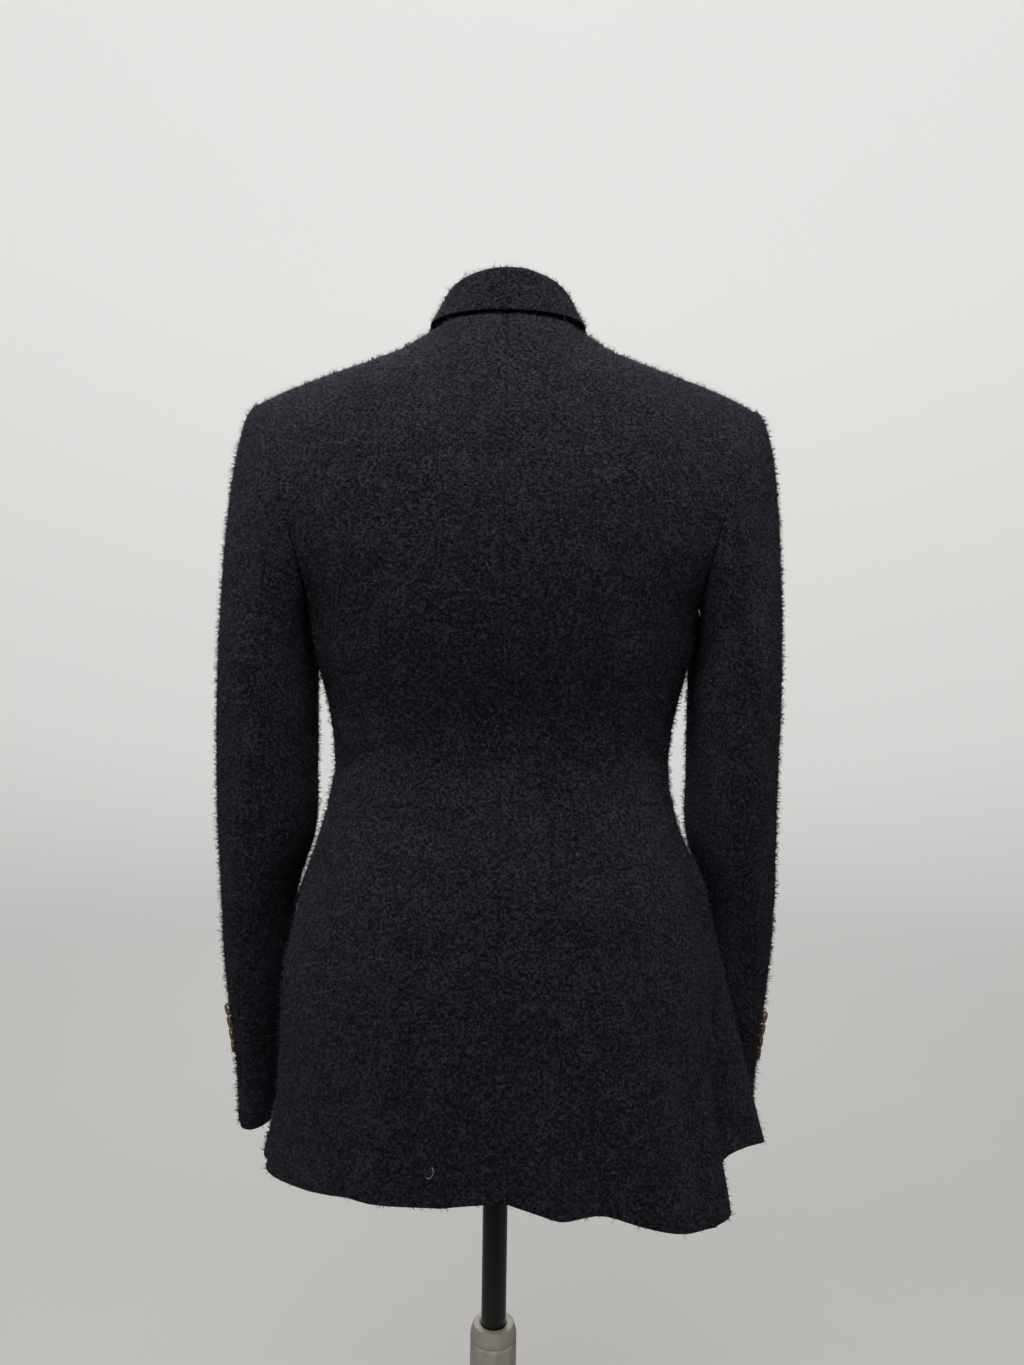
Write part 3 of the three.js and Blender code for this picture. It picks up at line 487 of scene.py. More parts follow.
# Each pair holds a measure of the collar at its middle and at the neck's side.
FOLD_IN, FOLD_UP = (4, 12), (27, 14.5)
FALL_OUT, FALL_UP = (4.5, 6), (-3.6, -2)
# Each pair holds a measure of the collar at the neck's side and at its end in front.
FRONT_SEAM_IN, FRONT_SEAM_UP = (SEAM_IN, 0.5), (1.4, 1)
FRONT_FOLD_IN, FRONT_FOLD_OUT = (12, 1), (15, 5)
FRONT_FALL_IN, FRONT_FALL_OUT = (4.5, 44), (2.8, 4.6)
FALL_SLIDE = 0.11
FRONT_UP = Vector((0, -0.35, 0.94)).normalized()
FLAP_TOP, FLAP_DROP, FLAP_FROM, FLAP_TO = 978, 48, 93, 127
FLAP_STAND = {1: 5.5, -1: 6.5}
FLAP_ROOM = 0.9


def lapel_point(side, a, b):
    level = lerp(LAPEL_FOOT[side], lerp(GORGE_IN, GORGE_OUT, 1 - a), b)
    spread = clamp01((level - BREAK_Z) / (GORGE_IN - BREAK_Z)) ** 0.8
    x = front_edge_x(level) + LAPEL_START + (1 - a) * LAPEL_WIDTH * spread
    t = (level - YOKE_Z) / (SHOULDER_LEVEL - YOKE_Z)
    if t > 0:
        return yoke_point(side, "front", x / edge_half("front", t), t)
    p = body_point(side, "front", pi - atan2(x, read(BODY, "front", level)), level)
    p.y -= closure_out(side, p.x, level)
    return p


def lapel_lift(side, a, b):
    return LAPEL_LIFT + LAPEL_RISE * ramp(b, 0.7, 1) * ramp(a, 0.4, 1)


def collar_guides(q):
    """Neck seam, fold and falling edge of the collar at q: -1 right gorge, 0 back, 1 left."""
    side, u = (-1 if q < 0 else 1), abs(q)
    if u <= NECK_SHARE:
        share = u / NECK_SHARE
        turn = pi / 2 * share
        radial = Vector((side * sin(turn), cos(turn), 0))
        x = NECK_HALF * sin(turn)
        y, z = top_edge("back", x)
        seam = Vector((side * x, y, z + SEAM_UP)) - radial * SEAM_IN
        round_off = ramp(share, 0, 1)
        fold = seam - radial * lerp(*FOLD_IN, round_off) + Vector((0, 0, lerp(*FOLD_UP, round_off)))
        fall = seam + radial * lerp(*FALL_OUT, share) + Vector((0, 0, lerp(*FALL_UP, share)))
        return seam, fold, fall
    w = (u - NECK_SHARE) / (1 - NECK_SHARE)
    soft = ramp(w, 0, 0.6)
    level = lerp(SHOULDER_LEVEL, GORGE_LEVEL, w)
    t = (level - YOKE_Z) / (SHOULDER_LEVEL - YOKE_Z)
    edge = front_edge_x(level)
    seam = yoke_point(side, "front", edge / edge_half("front", t), t)
    seam += Vector((-side * lerp(*FRONT_SEAM_IN, soft), 0, lerp(*FRONT_SEAM_UP, soft)))
    seam += FRONT_UP * SEAM_UP * soft
    fold = seam + Vector((-side * lerp(*FRONT_FOLD_IN, soft), 0, 0.2 * (1 - soft)))
    fold += FRONT_UP * lerp(*FRONT_FOLD_OUT, soft)
    fall_t = t - FALL_SLIDE * w
    fall_x = (edge + lerp(*FRONT_FALL_IN, w)) / edge_half("front", fall_t)
    fall = yoke_point(side, "front", fall_x, fall_t) + FRONT_UP * lerp(*FRONT_FALL_OUT, soft)
    return seam, fold, fall


def collar_point(side, a, b):
    seam, fold, fall = collar_guides(2 * a - 1)
    if b < STAND_SHARE:
        return seam.lerp(fold, b / STAND_SHARE)
    over = fall - seam
    up = (fold - seam).normalized()
    over = (over - up * over.dot(up)).normalized()
    arc = clamp01((b - STAND_SHARE) / (FALL_SHARE - STAND_SHARE)) * pi
    on_arc = fold + over * FOLD_RADIUS * (1 - cos(arc)) + up * FOLD_RADIUS * sin(arc)
    return on_arc if b <= FALL_SHARE else on_arc.lerp(fall, (b - FALL_SHARE) / (1 - FALL_SHARE))


def flap_point(side, a, b):
    angle = radians(lerp(FLAP_FROM, FLAP_TO, a))
    return body_point(side, "side", angle, FLAP_TOP - FLAP_DROP * (1 - b))


def flap_lift(side, a, b):
    return CLOTH + FLAP_ROOM + FLAP_STAND[side] * (1 - b) ** 1.3


seam, fold, fall = collar_guides(0)
print("collar fold stands", round(fold.z - seam.z, 1), "mm above its seam")

# %% [markdown]
# ## Soft folds
# A well cut blazer shows few folds, and those are shallow. Where the sleeve is set into the
# armhole the cloth dips; at the bend of the elbow, at the waist and under the arm it pulls.
# Each fold below is one long soft dent or ridge on the outside of the cloth. The list gives the
# side it is seen from, its middle, its lean, half its length, half its width and its depth.
# The values are uneven on purpose: no two real folds match.

# %% Folds, by the side they are seen from
# view, across, height, lean in degrees, half length, half width, depth out (+) or in (-)
BODY_FOLDS = (
    ("back", -128, 1075, 62, 46, 7, -1.6), ("back", -120, 1040, 74, 38, 6, -1.2),
    ("back", 124, 1066, -66, 42, 7, -1.5), ("back", 112, 1031, -78, 34, 6, 1.0),
    ("back", -96, 1196, 24, 60, 11, -1.4), ("back", 100, 1204, -20, 66, 12, -1.3),
    ("back", -64, 1362, 74, 42, 9, -1.0), ("back", 58, 1368, -72, 38, 8, -0.9),
    ("back", -146, 812, 8, 70, 8, -1.9), ("back", -173, 766, 3, 74, 3.5, 4.2),
    ("back", -166, 838, -7, 30, 4, 2.6), ("back", -176, 822, -4, 28, 3.5, 3.4),
    ("back", 146, 800, -5, 62, 9, 1.6),
    ("back", -40, 792, 4, 58, 12, 1.4), ("back", 30, 770, -3, 46, 10, -1.3),
    ("front", 92, 1080, 58, 44, 7, -1.6), ("front", -84, 1066, -64, 40, 7, -1.4),
    ("front", 40, 1046, 82, 34, 5, -1.1), ("front", -36, 1100, -80, 30, 5, -1.0),
    ("front", 118, 840, 6, 76, 10, 1.8), ("front", -112, 824, -4, 68, 9, -1.7),
    ("side", 10, 1052, 84, 44, 6, -1.5), ("side", -24, 1084, 70, 36, 6, -1.1),
    ("side", 36, 1090, -76, 30, 5, 1.0),
)
SLEEVE_FOLDS = (
    ("back", 211, 1246, 4, 56, 8, -3.4), ("back", 224, 1222, -5, 40, 7, 1.4),
    ("back", 205, 1120, -12, 52, 8, -1.6), ("back", 232, 1052, 9, 60, 9, 1.3),
    ("back", 216, 905, 64, 24, 5, -1.7), ("back", 222, 882, 72, 20, 5, -1.4),
    ("back", 209, 846, -58, 22, 6, 1.2),
    ("front", 214, 964, 78, 22, 5, -2.6), ("front", 208, 938, 84, 20, 5, -2.8),
    ("front", 218, 911, -80, 21, 5, -2.1), ("front", 206, 990, 70, 18, 5, -1.6),
    ("front", 212, 1236, -3, 54, 8, -3.0), ("front", 226, 1208, 6, 42, 7, 1.3),
    ("side", -34, 934, 74, 26, 6, -1.8), ("side", -30, 962, 82, 22, 5, -1.5),
    ("side", 14, 1150, -6, 70, 12, 1.4), ("side", -16, 1240, 5, 48, 11, -1.5),
)


SEEN_FROM, SEEN_FULL = 0.25, 0.75  # a fold shows only on cloth that faces its own side
LEFT_HIGHER = 6  # every second fold is set apart on the two sides


def fold_depth(folds, side, p, normal):
    """How far the folds move a point of the cloth, in millimetres."""
    facing = {"back": normal.y, "front": -normal.y, "side": normal.x * side}
    out = 0.0
    for n, (view, across, height, lean, length, width, depth) in enumerate(folds):
        seen = ramp(facing[view], SEEN_FROM, SEEN_FULL)
        if seen == 0:
            continue
        place = p.y if view == "side" else p.x if folds is BODY_FOLDS else abs(p.x)
        u = place - across
        v = p.z - height - (LEFT_HIGHER * side if n % 2 else 0)
        turn = radians(lean)
        along = (v * cos(turn) + u * sin(turn)) / length
        over = (u * cos(turn) - v * sin(turn)) / width
        out += seen * depth * exp(-along * along - over * over)
    return out


print(len(BODY_FOLDS), "folds on the body,", len(SLEEVE_FOLDS), "on each sleeve")

# %% [markdown]
# ## Laying a sheet of cloth
# Each piece starts as a flat grid from bmesh, as a cut piece starts flat on the table. Every
# point of the grid then goes to its place on the blazer. After that the point moves along its
# own normal for the folds, for the dip along each sewn edge and for the slight unevenness of
# real cloth. The edges get closer rows of points, because the sewn dip is only a few
# millimetres wide. A Solidify modifier adds the thickness inwards, and a Bevel rounds the rims.

# %% Helpers that lay, thicken and measure a sheet
SEAM_DIP, SEAM_REACH = 0.5, 2.4
EDGE_CROWD = 0.72
UNEVEN, UNEVEN_SIZE, UNEVEN_CLEAR = 0.45, 17, 20
RIM_WIDTH, RIM_ANGLE = 0.9, 60
sheets = {}


def crowd(t):
    """Moves even steps towards both edges."""
    return t - EDGE_CROWD * sin(2 * pi * t) / (2 * pi)


def new_object(name, mesh):
    piece = bpy.data.objects.new(name, mesh)
    bpy.context.scene.collection.objects.link(piece)
    return piece


def mesh_from(bm, name):
    """Turns a bmesh into an object with smooth faces."""
    mesh = bpy.data.meshes.new(name)
    bm.to_mesh(mesh)
    bm.free()
    for face in mesh.polygons:
        face.use_smooth = True
    return new_object(name, mesh)


def longest_run(grid, steps, lines, step):
    """The longest of a grid's lines, measured along the cloth."""
    di, dj = step
    runs = []
    for line in range(lines):
        run = [(n * di + line * dj, n * dj + line * di) for n in range(steps)]
        runs.append(sum((grid[i, j].co - grid[i + di, j + dj].co).length for i, j in run))
    return max(runs)


def lay_sheet(name, point_at, side, columns, rows, sewn, lift, folds):
    """Lays one piece of cloth; sewn names its sewn edges, lift says how far it is raised."""
    bm = bmesh.new()
    bmesh.ops.create_grid(bm, x_segments=columns, y_segments=rows, size=0.5)
    grid = {}
    for v in bm.verts:
        grid[round((v.co.x + 0.5) * columns), round((v.co.y + 0.5) * rows)] = v
    place = {}
    for (i, j), v in grid.items():
        place[i, j] = (crowd(i / columns), j / rows)
        v.co = point_at(side, *place[i, j])
    if side > 0:
        bmesh.ops.reverse_faces(bm, faces=bm.faces[:])
    bm.normal_update()
    flat = {key: (v.co.copy(), v.normal.copy()) for key, v in grid.items()}
    for (i, j), v in grid.items():
        p, normal = flat[i, j]
        out = lift(side, *place[i, j]) if lift else 0.0
        out += fold_depth(folds, side, p, normal)
        edges = {"a0": (0, j), "a1": (columns, j), "b0": (i, 0), "b1": (i, rows)}
        for edge in sewn.split():
            away = (p - flat[edges[edge]][0]).length / SEAM_REACH
            out -= SEAM_DIP * exp(-away * away)
        free = min((p - flat[edge][0]).length for edge in edges.values())
        out += UNEVEN * noise.noise(p / UNEVEN_SIZE) * ramp(free, 0, UNEVEN_CLEAR)
        v.co = (p + normal * out) * TAPE
    bm.normal_update()
    area = sum(face.calc_area() for face in bm.faces)
    across = longest_run(grid, columns, rows + 1, (1, 0))
    down = longest_run(grid, rows, columns + 1, (0, 1))
    piece = mesh_from(bm, name)
    thick = piece.modifiers.new("cloth thickness", "SOLIDIFY")
    thick.thickness = CLOTH * TAPE
    thick.offset = -1
    rim = piece.modifiers.new("rounded rims", "BEVEL")
    rim.width = RIM_WIDTH * TAPE
    rim.segments = 2
    rim.limit_method = "ANGLE"
    rim.angle_limit = radians(RIM_ANGLE)
    sheets[name] = (piece, across, down, area)
    print(f"{name}: {across / TAPE:.0f} x {down / TAPE:.0f} mm, {area:.4f} m2")


# %% Lay every panel of the blazer
HANDS = {"left": 1, "right": -1}
# piece, its surface, columns and rows of the grid, sewn edges, lift, folds
PANELS = (
    ("back", back_point, 44, 4 * PANEL_ROWS, "a0 a1 b1", None, BODY_FOLDS),
    ("side", side_point, 35, 4 * SIDE_ROWS, "a0 a1 b1", None, BODY_FOLDS),
    ("front", front_point, 44, 4 * PANEL_ROWS, "a0 b1", None, BODY_FOLDS),
    ("upper_sleeve", upper_sleeve_point, 48, 84, "a0 a1 b0", None, SLEEVE_FOLDS),
    ("under_sleeve", under_sleeve_point, 36, 84, "a0 a1 b0", None, SLEEVE_FOLDS),
    ("lapel", lapel_point, 20, 44, "a1", lapel_lift, ()),
    ("flap", flap_point, 28, 18, "b1", flap_lift, ()),
)
for hand, side in HANDS.items():
    for part, point_at, columns, rows, sewn, lift, folds in PANELS:
        lay_sheet(f"cloth_{part}_{hand}", point_at, side, columns, rows, sewn, lift, folds)
lay_sheet("cloth_collar", collar_point, 1, 120, 45, "b0", None, ())

# %% [markdown]
# ## The sheets on the form
# Every sheet rides with the form's body, and the plain solid of the frame that it stands for is
# hidden. Its flat size was printed when it was laid. The seam allowances are turned inside and
# don't show.

# %% Sheets, and the plain solids that they stand for
for name, (piece, across, down, area) in sheets.items():
    node = name.removeprefix("cloth_").replace("flap", "pocket_flap")
    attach(piece, "form")
    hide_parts(node)
print(len(sheets), "sheets,", round(sum(s[3] for s in sheets.values()), 3), "m2 of cloth")

# %% [markdown]
# ## Node groups for the finishes
# Two effects come back in several materials, so each is built once as a node group with named
# inputs. The first is the boucle: small curled loops, which are rounded cells bent by noise,
# with fine hair between them, and slow patches where the hair lies another way. The second is
# wear: fine scratches, dust and smudges for the smooth hard pieces.

# %% Helpers for building node trees


def add_node(tree, kind, settings=None, **inputs):
    """Adds a node, sets its options and fills its inputs with values or links."""
    node = tree.nodes.new(kind)
    for key, value in (settings or {}).items():
        setattr(node, key, value)
    for key, value in inputs.items():
        socket = node.inputs[int(key[1:])] if key[0] == "_" else node.inputs[key.replace("_", " ")]
        if isinstance(value, bpy.types.NodeSocket):
            tree.links.new(value, socket)
        else:
            socket.default_value = value
    return node


def math_node(tree, operation, a, b, c=0.0):
    return add_node(tree, "ShaderNodeMath", {"operation": operation}, _0=a, _1=b, _2=c).outputs[0]


def noise_node(tree, place, scale, detail, roughness=0.5):
    """Soft noise: the higher its scale, the smaller its grains."""
    return add_node(tree, "ShaderNodeTexNoise", None, Vector=place, Scale=scale, Detail=detail,
                    Roughness=roughness).outputs


def spread(tree, value, low, high, to_low=0.0, to_high=1.0):
    """Stretches a value from one range to another, and keeps it inside."""
    node = add_node(tree, "ShaderNodeMapRange", {"clamp": True},
                    _0=value, _1=low, _2=high, _3=to_low, _4=to_high)
    return node.outputs[0]


def mix_colour(tree, amount, a, b):
    node = add_node(tree, "ShaderNodeMix", {"data_type": "RGBA"}, _0=amount, _6=a, _7=b)
    return node.outputs[2]


def new_group(name, inputs, outputs):
    """A node group with named sockets; gives back its tree, its inputs and its outputs."""
    tree = bpy.data.node_groups.new(name, "ShaderNodeTree")
    for label, kind, value in inputs:
        socket = tree.interface.new_socket(label, in_out="INPUT", socket_type=kind)
        if value is not None:
            socket.default_value = value
    for label, kind in outputs:
        tree.interface.new_socket(label, in_out="OUTPUT", socket_type=kind)
    return tree, tree.nodes.new("NodeGroupInput").outputs, tree.nodes.new("NodeGroupOutput").inputs


# %% The boucle group
boucle, given, out = new_group(
    "curled_loops",
    [("Place", "NodeSocketVector", None), ("Loops per metre", "NodeSocketFloat", 430.0),
     ("Dark", "NodeSocketColor", (0.004, 0.004, 0.006, 1)),
     ("Light", "NodeSocketColor", (0.03, 0.03, 0.04, 1)), ("Worn", "NodeSocketFloat", 0.0)],
    [("Colour", "NodeSocketColor"), ("Height", "NodeSocketFloat"), ("Roughness", "NodeSocketFloat")],
)
wander = noise_node(boucle, given["Place"], 520.0, 2.0)["Color"]
bend = add_node(boucle, "ShaderNodeVectorMath", {"operation": "MULTIPLY_ADD"}, _0=wander,
                _1=(0.0034, 0.0034, 0.0034), _2=given["Place"]).outputs[0]
loops = add_node(boucle, "ShaderNodeTexVoronoi", {"feature": "SMOOTH_F1"}, Vector=bend,
                 Scale=given["Loops per metre"], Smoothness=0.6)
strands = add_node(boucle, "ShaderNodeTexVoronoi", {"feature": "DISTANCE_TO_EDGE"}, Vector=bend,
                   Scale=290.0)
hair = noise_node(boucle, given["Place"], 1500.0, 4.0, 0.7)
patches = noise_node(boucle, given["Place"], 46.0, 3.0)
round_loop = spread(boucle, loops.outputs["Distance"], 0.1, 0.75, 1.0, 0.0)
strand = spread(boucle, strands.outputs["Distance"], 0.0, 0.16, 0.0, 1.0)
fine = spread(boucle, hair["Fac"], 0.3, 0.7)
patch = spread(boucle, patches["Fac"], 0.32, 0.68)
print("boucle loops:", len(boucle.nodes), "nodes")

# %% What the loops give: height, colour and roughness
body = math_node(boucle, "MULTIPLY_ADD", strand, 0.35, math_node(boucle, "MULTIPLY", round_loop, 0.65))
height = math_node(boucle, "MULTIPLY_ADD", fine, 0.28, math_node(boucle, "MULTIPLY", body, 0.72))
speckles = noise_node(boucle, bend, 410.0, 2.5, 0.6)
speckle = spread(boucle, speckles["Fac"], 0.42, 0.63)
tone = math_node(boucle, "MULTIPLY_ADD", speckle, 0.62, math_node(boucle, "MULTIPLY", body, 0.26))
tone = math_node(boucle, "MULTIPLY_ADD", fine, 0.2, tone)
tone = math_node(boucle, "MULTIPLY_ADD", patch, 0.16, tone)
lit = math_node(boucle, "MULTIPLY_ADD", given["Worn"], 0.9, spread(boucle, tone, 0.38, 1.04))
boucle.links.new(mix_colour(boucle, lit, given["Dark"], given["Light"]), out["Colour"])
boucle.links.new(height, out["Height"])
boucle.links.new(spread(boucle, fine, 0.0, 1.0, 0.82, 1.0), out["Roughness"])
print("boucle group:", len(boucle.nodes), "nodes")

# %% The wear group
wear, given, out = new_group(
    "handling_wear",
    [("Place", "NodeSocketVector", None), ("Grain per metre", "NodeSocketFloat", 900.0),
     ("Scratches", "NodeSocketFloat", 0.4)],
    [("Dust", "NodeSocketFloat"), ("Scratch", "NodeSocketFloat"), ("Height", "NodeSocketFloat")],
)
smudge = noise_node(wear, given["Place"], 24.0, 5.0, 0.65)
grain = noise_node(wear, given["Place"], given["Grain per metre"], 3.0)
stretch = add_node(wear, "ShaderNodeMapping", None, Vector=given["Place"], Rotation=(0.3, 0.2, 0.5),
                   Scale=(1.0, 1.0, 0.06)).outputs[0]
lines = noise_node(wear, stretch, 1300.0, 2.0, 0.6)
scratch = math_node(wear, "MULTIPLY", spread(wear, lines["Fac"], 0.64, 0.72), given["Scratches"])
relief = math_node(wear, "SUBTRACT", math_node(wear, "MULTIPLY", grain["Fac"], 0.3), scratch)
wear.links.new(spread(wear, smudge["Fac"], 0.38, 0.7), out["Dust"])
wear.links.new(scratch, out["Scratch"])
wear.links.new(relief, out["Height"])
print("wear group:", len(wear.nodes), "nodes")

# %% [markdown]
# ## Finishes
# The shader stays in each material. The navy boucle has only a faint sheen, because its loose
# hairs, which catch the light at a grazing angle, are modelled. They have their own material,
# plainer and a little lighter; that lighter colour is partly the fibres' own paler tone and partly
# painted sheen for the light that they catch. At one small spot both are worn pale. The hard
# pieces are black lacquered steel, a satin black form, pale moulded plastic and aged brass.

# %% Boucle cloth and its hair


def new_material(name):
    """A material with its node tree, its Principled shader and its object coordinates."""
    material = bpy.data.materials.new(name)
    material.use_nodes = True
    tree = material.node_tree
    shader = tree.nodes["Principled BSDF"]
    place = tree.nodes.new("ShaderNodeTexCoord").outputs["Object"]
    return material, tree, shader, place


def set_shader(shader, **values):
    for key, value in values.items():
        shader.inputs[key.replace("_", " ")].default_value = value


def put_group(tree, group, **inputs):
    return add_node(tree, "ShaderNodeGroup", {"node_tree": group}, **inputs).outputs


def patch_mask(tree, place, centre, reach):
    """1 at a spot on the cloth, 0 away from it."""
    away = add_node(tree, "ShaderNodeVectorMath", {"operation": "DISTANCE"}, _0=place, _1=centre)
    return spread(tree, away.outputs["Value"], 0.0, reach, 1.0, 0.0)


NAVY_DARK, NAVY_LIGHT = (0.0006, 0.0006, 0.0012, 1), (0.044, 0.044, 0.063, 1)
# the hair's pale end is lighter than the cloth: partly paler fibre tips, partly painted sheen for the
# light that the hairs catch
HAIR_DARK, HAIR_PALE_WITH_SHEEN = (0.0005, 0.0005, 0.001, 1), (0.06, 0.06, 0.084, 1)
HAIR_WORN = (0.3, 0.3, 0.29, 1)
WORN_SPOT, WORN_REACH = (-0.124, 0.119, 0.775), 0.014
LOOP_DEPTH = 0.0026

cloth_finish, tree, shader, place = new_material("navy_boucle")
spots = noise_node(tree, place, 760.0, 1.0)
worn = math_node(tree, "MULTIPLY", patch_mask(tree, place, WORN_SPOT, WORN_REACH),
                 spread(tree, spots["Fac"], 0.56, 0.62))
loops = put_group(tree, boucle, Place=place, Dark=NAVY_DARK, Light=NAVY_LIGHT, Worn=worn)
tree.links.new(loops["Colour"], shader.inputs["Base Color"])
tree.links.new(loops["Roughness"], shader.inputs["Roughness"])
bump = add_node(tree, "ShaderNodeBump", None, Strength=1.0, Distance=LOOP_DEPTH, Height=loops["Height"])
tree.links.new(bump.outputs[0], shader.inputs["Normal"])
set_shader(shader, Sheen_Weight=0.1, Sheen_Roughness=0.5, Sheen_Tint=(0.62, 0.66, 0.85, 1),
           Specular_IOR_Level=0.12)

hair_finish, tree, shader, place = new_material("boucle_hair")
tint = noise_node(tree, place, 300.0, 2.0)
# random tint of the hairs; its pale end is partly painted sheen
colour = mix_colour(tree, spread(tree, tint["Fac"], 0.42, 0.62), HAIR_DARK, HAIR_PALE_WITH_SHEEN)
flecks = noise_node(tree, place, 620.0, 1.0)
rubbed = math_node(tree, "MULTIPLY", patch_mask(tree, place, WORN_SPOT, WORN_REACH),
                   spread(tree, flecks["Fac"], 0.58, 0.66))
colour = mix_colour(tree, rubbed, colour, HAIR_WORN)
tree.links.new(colour, shader.inputs["Base Color"])
set_shader(shader, Roughness=0.62, Specular_IOR_Level=0.2)

for piece, *_ in sheets.values():
    piece.data.materials.append(cloth_finish)

# %% Satin form, lacquered steel, moulded plastic, aged brass, thread


DUST_SHOW, DUST_DULL, SCRATCH_DULL = 0.6, 0.16, 0.2


def hard_finish(name, colour, dusty, rough, grain, scratches, bump_depth, metal, coat):
    material, tree, shader, place = new_material(name)
    marks = put_group(tree, wear, Place=place, Grain_per_metre=grain, Scratches=scratches)
    mixed = mix_colour(tree, math_node(tree, "MULTIPLY", marks["Dust"], DUST_SHOW), colour, dusty)
    tree.links.new(mixed, shader.inputs["Base Color"])
    dulled = math_node(tree, "MULTIPLY_ADD", marks["Scratch"], SCRATCH_DULL,
                       spread(tree, marks["Dust"], 0, 1, rough, rough + DUST_DULL))
    tree.links.new(dulled, shader.inputs["Roughness"])
    bump = add_node(tree, "ShaderNodeBump", None, Strength=0.5, Distance=bump_depth,
                    Height=marks["Height"])
    tree.links.new(bump.outputs[0], shader.inputs["Normal"])
    set_shader(shader, Metallic=metal, Coat_Weight=coat, Coat_Roughness=0.12)
    return material


# colour, dusty colour, roughness, grains per metre, scratches, depth of the bump, metal, coat
HARD_FINISHES = {
    "satin_form": ((0.012, 0.012, 0.011, 1), (0.022, 0.021, 0.019, 1),
                   0.42, 1400.0, 0.2, 0.0003, 0.0, 0.0),
    "black_lacquer": ((0.0015, 0.0015, 0.0018, 1), (0.008, 0.008, 0.009, 1),
                      0.16, 500.0, 0.5, 0.0001, 0.0, 0.35),
    "pale_plastic": ((0.66, 0.63, 0.55, 1), (0.38, 0.35, 0.29, 1),
                     0.42, 1100.0, 0.3, 0.0002, 0.0, 0.0),
    "aged_brass": ((0.55, 0.38, 0.18, 1), (0.16, 0.11, 0.06, 1),
                   0.26, 1500.0, 0.8, 0.0002, 0.85, 0.0),
    "waxed_thread": ((0.012, 0.012, 0.017, 1), (0.04, 0.04, 0.05, 1),
                     0.6, 2600.0, 0.0, 0.0004, 0.0, 0.0),
    "pale_lint": ((0.55, 0.57, 0.6, 1), (0.36, 0.37, 0.4, 1),
                  0.8, 2600.0, 0.0, 0.0002, 0.0, 0.0),
}
finishes = {name: hard_finish(name, *values) for name, values in HARD_FINISHES.items()}
print(len(bpy.data.materials), "materials")

# %% [markdown]
# ## The dress form
# The form is a smooth moulded shell of rounded sections, closed at the hips and topped by a
# neck cap. A grid wrapped into a tube gives even faces; its first and last rows shrink to a
# point, which closes it, and the seam where the wrap meets is merged.

# %% Torso and neck cap
FORM = table(
    "z half back front",
    (775, 148, 86, 94), (850, 158, 96, 102), (930, 154, 90, 98), (1000, 138, 75, 90),
    (1065, 129, 60, 86), (1125, 134, 66, 94), (1200, 150, 84, 112), (1260, 156, 90, 112),
    (1320, 156, 84, 98), (1365, 150, 66, 70), (1387, 138, 50, 48), (1402.6, 114, 40, 34),
    (1413.6, 89, 35, 24), (1421, 56, 36, 25), (1434, 45, 38, 33), (1462, 41, 38, 35),
)
CAP = table(
    "z half back front", (1462, 41, 38, 35), (1463, 43.2, 40.2, 37.2), (1464.5, 44, 41, 38),
    (1470.5, 44, 41, 38), (1472.5, 43.2, 40.2, 37.2), (1474, 41, 38, 35),
)
FORM_SQUARENESS = 2.4
FORM_ROWS = [775, 777, 782] + [790 + 12 * n for n in range(52)]
FORM_ROWS += [1408, 1414, 1419, 1424, 1430, 1436, 1449, 1462]
CAP_ROWS = [1462, 1462.6, 1463.4, 1464.5, 1467.5, 1470.5, 1471.8, 1473, 1474]
CAP_RISE = 3.0
MERGE = 1e-6  # metres


def wrap_form(name, shape, columns, heights, top_rise=0.0):
    """A closed tube of rounded sections; heights are the rows, and both ends are capped."""
    rows = len(heights) + 1
    bm = bmesh.new()
    bmesh.ops.create_grid(bm, x_segments=columns, y_segments=rows, size=0.5)
    for v in bm.verts:
        turn = (v.co.x + 0.5) * 2 * pi
        j = round((v.co.y + 0.5) * rows)
        z = heights[min(max(j - 1, 0), len(heights) - 1)]
        depth = read(shape, "back" if cos(turn) > 0 else "front", z)
        n = FORM_SQUARENESS
        r = (abs(sin(turn) / read(shape, "half", z)) ** n + abs(cos(turn) / depth) ** n) ** (-1 / n)
        rise = top_rise if j == rows else 0.0
        v.co = Vector((r * sin(turn), r * cos(turn), z + rise)) * TAPE
        if j in (0, rows):
            v.co.x = v.co.y = 0.0
    bmesh.ops.remove_doubles(bm, verts=bm.verts, dist=MERGE)
    bmesh.ops.recalc_face_normals(bm, faces=bm.faces)
    return mesh_from(bm, name)


def finish_piece(piece, body, slot, finish, *nodes):
    """Gives a piece its finish, its body and the solids that it stands for; its slot is not used."""
    piece.data.materials.clear()
    piece.data.materials.append(finishes[finish])
    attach(piece, body)
    if nodes:
        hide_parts(*nodes)
    print(piece.name, len(piece.data.polygons), "faces")


torso = wrap_form("form_shell_torso", FORM, 96, FORM_ROWS)
finish_piece(torso, "form", "form_shell", "satin_form", "form_torso")
cap = wrap_form("form_neck_cap", CAP, 80, CAP_ROWS, CAP_RISE)
finish_piece(cap, "form", "form_shell", "satin_form", "neck_cap")

# %% [markdown]
# ## Turned metal and plastic
# The pole, the tube, the base and the clamp are all turned shapes. Each starts as a profile of
# a few points, and bmesh spins it round the upright axis. Small extra points at the corners
# stand for the rounded edges of lacquered steel. The grip's ribs are pushed into its wall
# after the spin, because a moulded grip is a lathe shape with hollows for the fingers.

# %% Spin a profile


